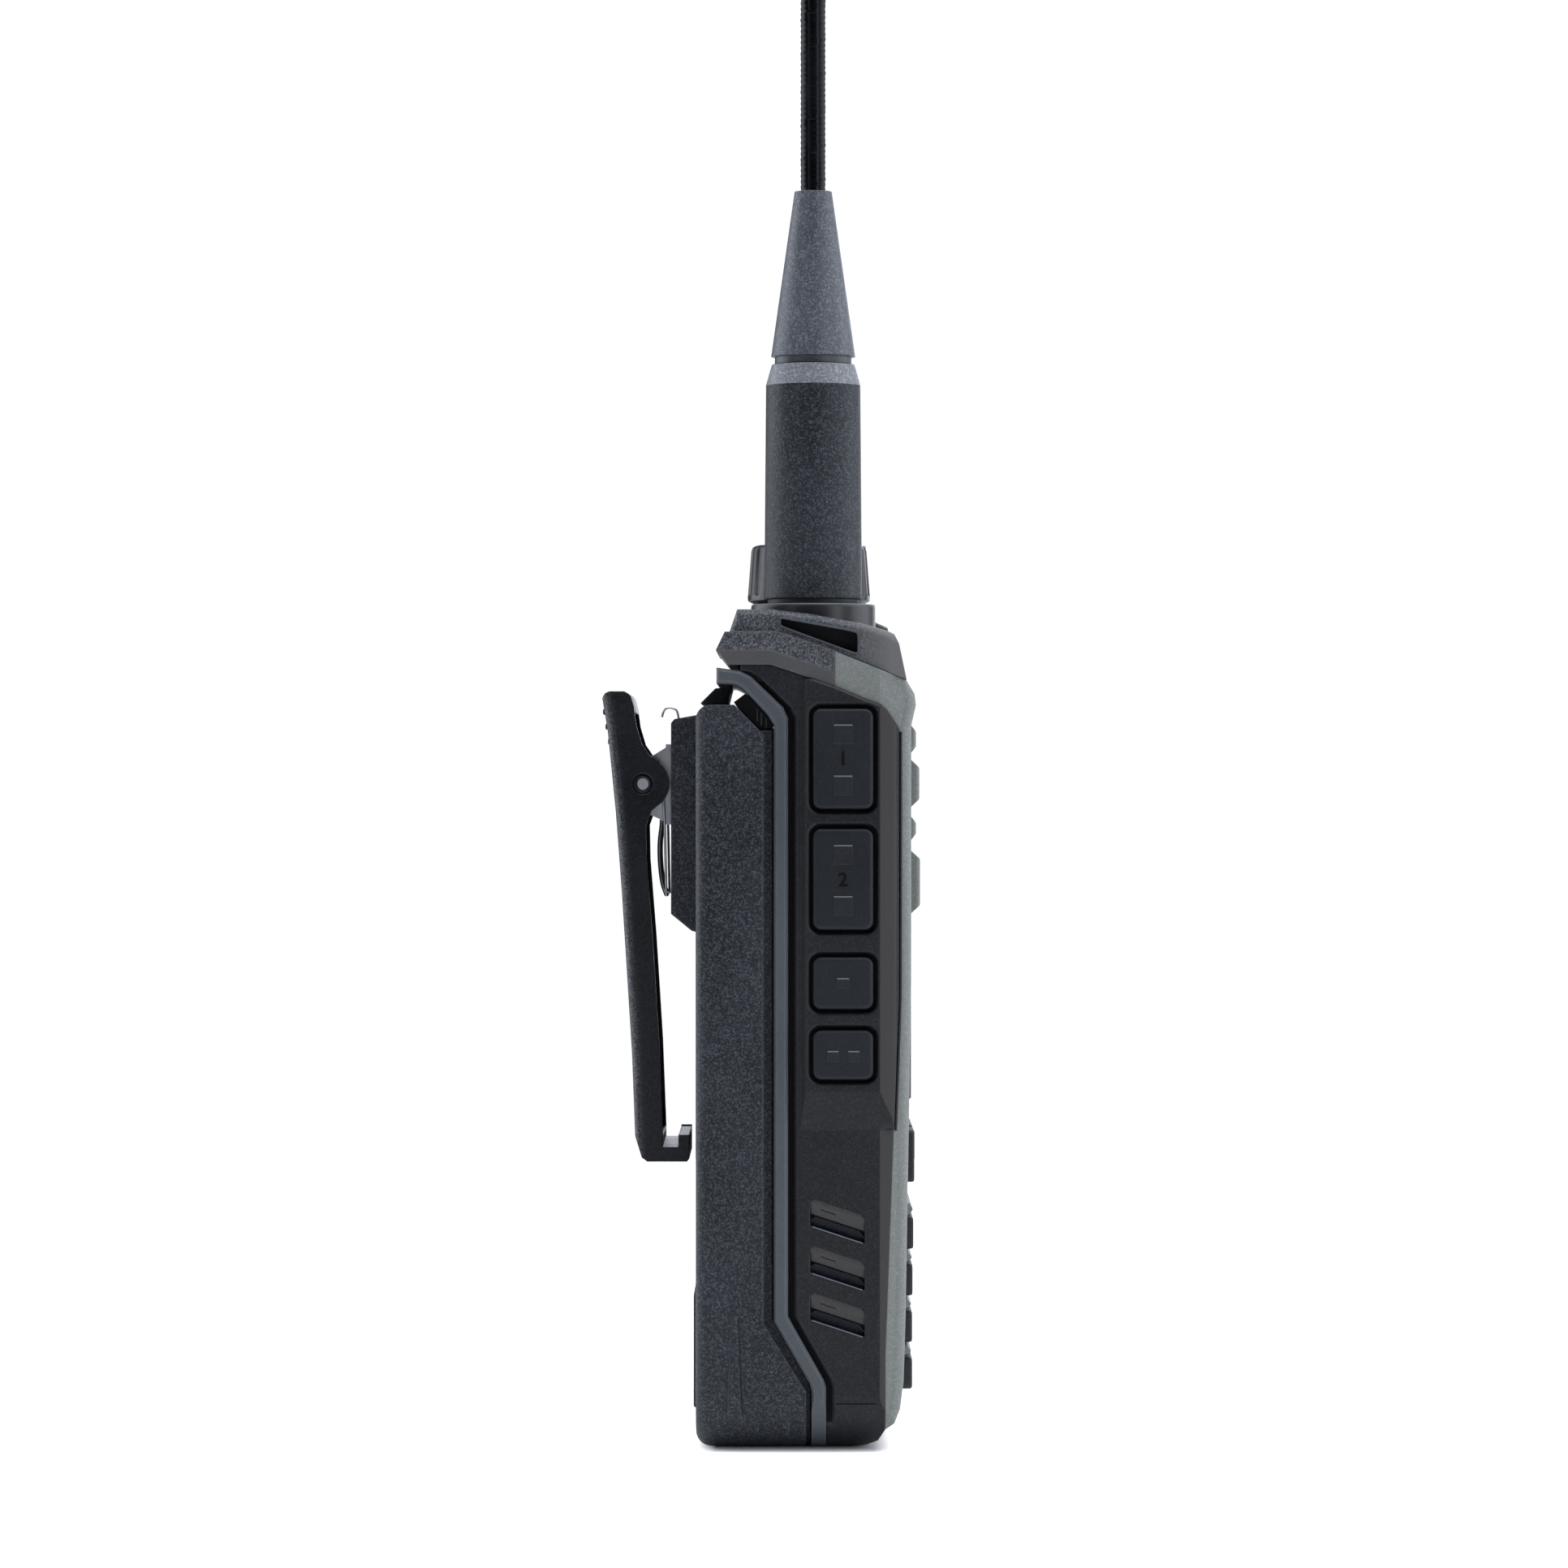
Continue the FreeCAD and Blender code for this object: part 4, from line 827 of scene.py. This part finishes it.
def grip_facets():
    """Smooth facets that slope into the grip recesses, painted paler than the wall as painted light, each
    with a fine scored line.
    """
    slope, proud, thick = 0.388, 0.04, 0.12
    crest, foot = 0.57, 2.3
    # Distance along the recess, and down from its slanting top edge.
    plan = [(crest, 0.0), (GRIP_RUN - crest, 0.0), (GRIP_RUN, crest), (GRIP_RUN, foot), (0.0, foot),
            (0.0, crest)]
    for name, side in SIDES:
        bm = bmesh.new()
        for step in range(GRIP_COUNT):
            top = GRIP_TOP - 0.05 - GRIP_PITCH * step
            outer, inner = [], []
            for along, down in plan:
                x = WALL_X + proud - slope * max(down - crest, 0.0)
                y, z = GRIP_REAR - along, top - GRIP_FALL * along / GRIP_RUN - down
                outer.append(bm.verts.new((side * x * MM, y * MM, z * MM)))
                inner.append(bm.verts.new((side * (x - thick) * MM, y * MM, z * MM)))
            for a, b, c, d, e, f in (outer, inner):
                bm.faces.new((a, b, c, f))
                bm.faces.new((f, c, d, e))
            join_rings(bm, [outer, inner])
            score = grip_line(side, WALL_X - 0.22, top, 1.2, 1.5, 3.7)
            wire(f"grip_score_{name}_{step}", score, 0.07 * MM, "housing", "side_black", smooth=False,
                 material=DARK_PRINT_AND_SHADE)
        finish_piece("grip_facets_" + name, bm, "housing", "side_black", FACET_PAINTED_LIGHT, smooth_deg=15)


def grip_pockets():
    """Dark slanted bars at the bottom of the grip recesses, each with a painted highlight along its lower
    edge.
    """
    # Depth into the wall, and height against the slanting top edge.
    section = [(1.42, -2.5), (0.8, -2.5), (1.05, -3.7), (0.1, -4.02), (0.2, -4.12), (1.42, -3.72)]
    core_depth, core_height = 0.9, -3.4    # the section shrinks towards this point at its ends
    taper, end_size = 0.75 / GRIP_RUN, 0.25
    stations = [(0.0, end_size), (taper, 1.0), (1 - taper, 1.0), (1.0, end_size)]
    for name, side in SIDES:
        bm = bmesh.new()
        for step in range(GRIP_COUNT):
            top = GRIP_TOP - GRIP_PITCH * step
            rings = []
            for share, size in stations:
                ring = []
                for depth, height in section:
                    x = WALL_X - (core_depth + (depth - core_depth) * size)
                    y = GRIP_REAR - GRIP_RUN * share
                    z = top - GRIP_FALL * share + core_height + (height - core_height) * size
                    ring.append(bm.verts.new((side * x * MM, y * MM, z * MM)))
                rings.append(ring)
            join_rings(bm, rings)
            bm.faces.new(rings[0])
            bm.faces.new(rings[-1][::-1])
            # Painted highlight along the lower edge of the recess.
            edge = grip_line(side, WALL_X - 0.02, top, 4.1, 0.3, GRIP_RUN - 0.3)
            wire(f"grip_edge_{name}_{step}", edge, 0.09 * MM, "housing", "side_black", smooth=False,
                 material=PAINTED_HIGHLIGHT)
        finish_piece("grip_pockets_" + name, bm, "housing", "side_black", POCKET_BLACK)


def cap_windows():
    """Painted shade: a dark lining in the slanted window in each shoulder; and a raised rim round it, with a
    painted highlight in its paler colour.
    """
    inside, outside, rim = 24.45 * MM, 24.9 * MM, 27.36 * MM
    for name, side in SIDES:
        bm = bmesh.new()
        # Painted shade: a dark sheet closing the window.
        bar_across(bm, WINDOW, side * inside, side * outside)
        finish_piece("window_shade_" + name, bm, "housing", "grain_black", LATCH_BLACK)
        # Raised rim, painted paler: a painted highlight.
        loop = []
        for (y0, z0), (y1, z1) in zip(WINDOW, WINDOW[1:] + WINDOW[:1]):
            for share in (0.06, 0.5, 0.94):
                loop.append((side * rim, (y0 + (y1 - y0) * share) * MM, (z0 + (z1 - z0) * share) * MM))
        wire("window_rim_" + name, loop, 0.17 * MM, "housing", "grain_black", cyclic=True, material=RIM_GREY)


# ---- Studio -------------------------------------------------------------------------------

def area_light(name, place, size, power):
    """A soft, slightly cool light that shines at the radio's body."""
    light = bpy.data.lights.new(name, "AREA")
    light.shape = "RECTANGLE"
    light.size, light.size_y = size
    light.energy = power
    light.color = (0.93, 0.97, 1.06)
    lamp = bpy.data.objects.new(name, light)
    lamp.location = place
    aim = Vector((0, 0, 0.1)) - Vector(place)
    lamp.rotation_euler = aim.to_track_quat("-Z", "Y").to_euler()
    bpy.context.scene.collection.objects.link(lamp)
    return lamp


def white_floor():
    """A pale round floor that glows a little, so it runs into the white background."""
    bm = bmesh.new()
    bmesh.ops.create_circle(bm, cap_ends=True, segments=96, radius=0.6)
    mesh = bpy.data.meshes.new("studio_floor")
    bm.to_mesh(mesh)
    bm.free()
    floor = bpy.data.objects.new("studio_floor", mesh)
    bpy.context.scene.collection.objects.link(floor)
    g = Graph("floor_white")
    base = g.mix(g.noise(60.0), rgb(0.8, 0.8, 0.8), rgb(0.84, 0.84, 0.84))
    # Painted shadow, partly real: the glow fades out round the radio's foot, so a dark patch follows the
    # foot's outline and the real contact shadow shows in it.
    foot = {"X": 27 * MM, "Y": 11 * MM}
    past = [g.math("MAXIMUM", g.math("SUBTRACT", g.math("ABSOLUTE", g.axis(name)), reach), 0.0)
            for name, reach in foot.items()]
    away = g.math("SQRT", g.math("ADD", g.math("POWER", past[0], 2.0), g.math("POWER", past[1], 2.0)))
    seen = g.node("ShaderNodeLightPath").outputs["Is Camera Ray"]
    glow = g.times(g.remap(away, 0.5 * MM, 4 * MM), g.remap(seen, 0.0, 1.0, 0.25, 0.9))
    mesh.materials.append(g.use(Base_Color=base, Roughness=0.9, Emission_Color=rgb(1, 1, 1),
                                Emission_Strength=glow))


def white_world(lighting, seen_by_camera):
    """White background that lights the radio less than it shows."""
    world = bpy.data.worlds.new("studio_world")
    bpy.context.scene.world = world
    world.use_nodes = True
    nodes, links = world.node_tree.nodes, world.node_tree.links
    share = nodes.new("ShaderNodeMapRange")
    share.inputs["To Min"].default_value = lighting
    share.inputs["To Max"].default_value = seen_by_camera
    links.new(nodes.new("ShaderNodeLightPath").outputs["Is Camera Ray"], share.inputs["Value"])
    nodes["Background"].inputs["Color"].default_value = (1, 1, 1, 1)
    links.new(share.outputs[0], nodes["Background"].inputs["Strength"])


def studio():
    """Floor, background, soft lights and a camera that looks along +X."""
    white_floor()
    white_world(lighting=0.05, seen_by_camera=1.05)
    area_light("left", place=(0.2, 0.6, 0.25), size=(0.6, 0.8), power=3.8)
    area_light("right", place=(0.1, -0.6, 0.25), size=(0.6, 0.8), power=3.4)
    area_light("top", place=(-0.1, 0.0, 0.9), size=(0.9, 0.9), power=8.0)
    area_light("front_right", place=(-0.6, -0.58, 0.3), size=(0.3, 0.7), power=1.9)
    area_light("front_left", place=(-0.62, 0.55, 0.3), size=(0.2, 0.7), power=0.6)
    far_side = area_light("far_side", place=(0.65, -0.15, 0.35), size=(0.5, 0.7), power=2.5)
    far_side.visible_camera = False

    # A level camera 0.83 m from the middle plane, square to the left side.
    camera_data = bpy.data.cameras.new("camera")
    camera_data.lens = 127.03
    camera_data.sensor_width = 36.0
    camera = bpy.data.objects.new("camera", camera_data)
    camera.location = (-0.830, 0.0016, 0.0968)
    camera.rotation_euler = (math.pi / 2, 0, -math.pi / 2)
    bpy.context.scene.collection.objects.link(camera)
    bpy.context.scene.camera = camera
    bpy.context.scene.view_settings.view_transform = "Standard"


antenna_whip()
volume_knob()
side_marks()
key_legends()
display_details()
clip_spring()
clip_grips()
latch_rail()
battery_gasket()
ridge_lines()
strip_shadows()
foot_seams()
cover_seams()
pin_rings()
grip_facets()
grip_pockets()
cap_windows()
collar_rim()
antenna_neck()
studio()

for node in NODES.values():
    node.data.shade_smooth()
    node.data.set_sharp_from_angle(angle=math.radians(30))
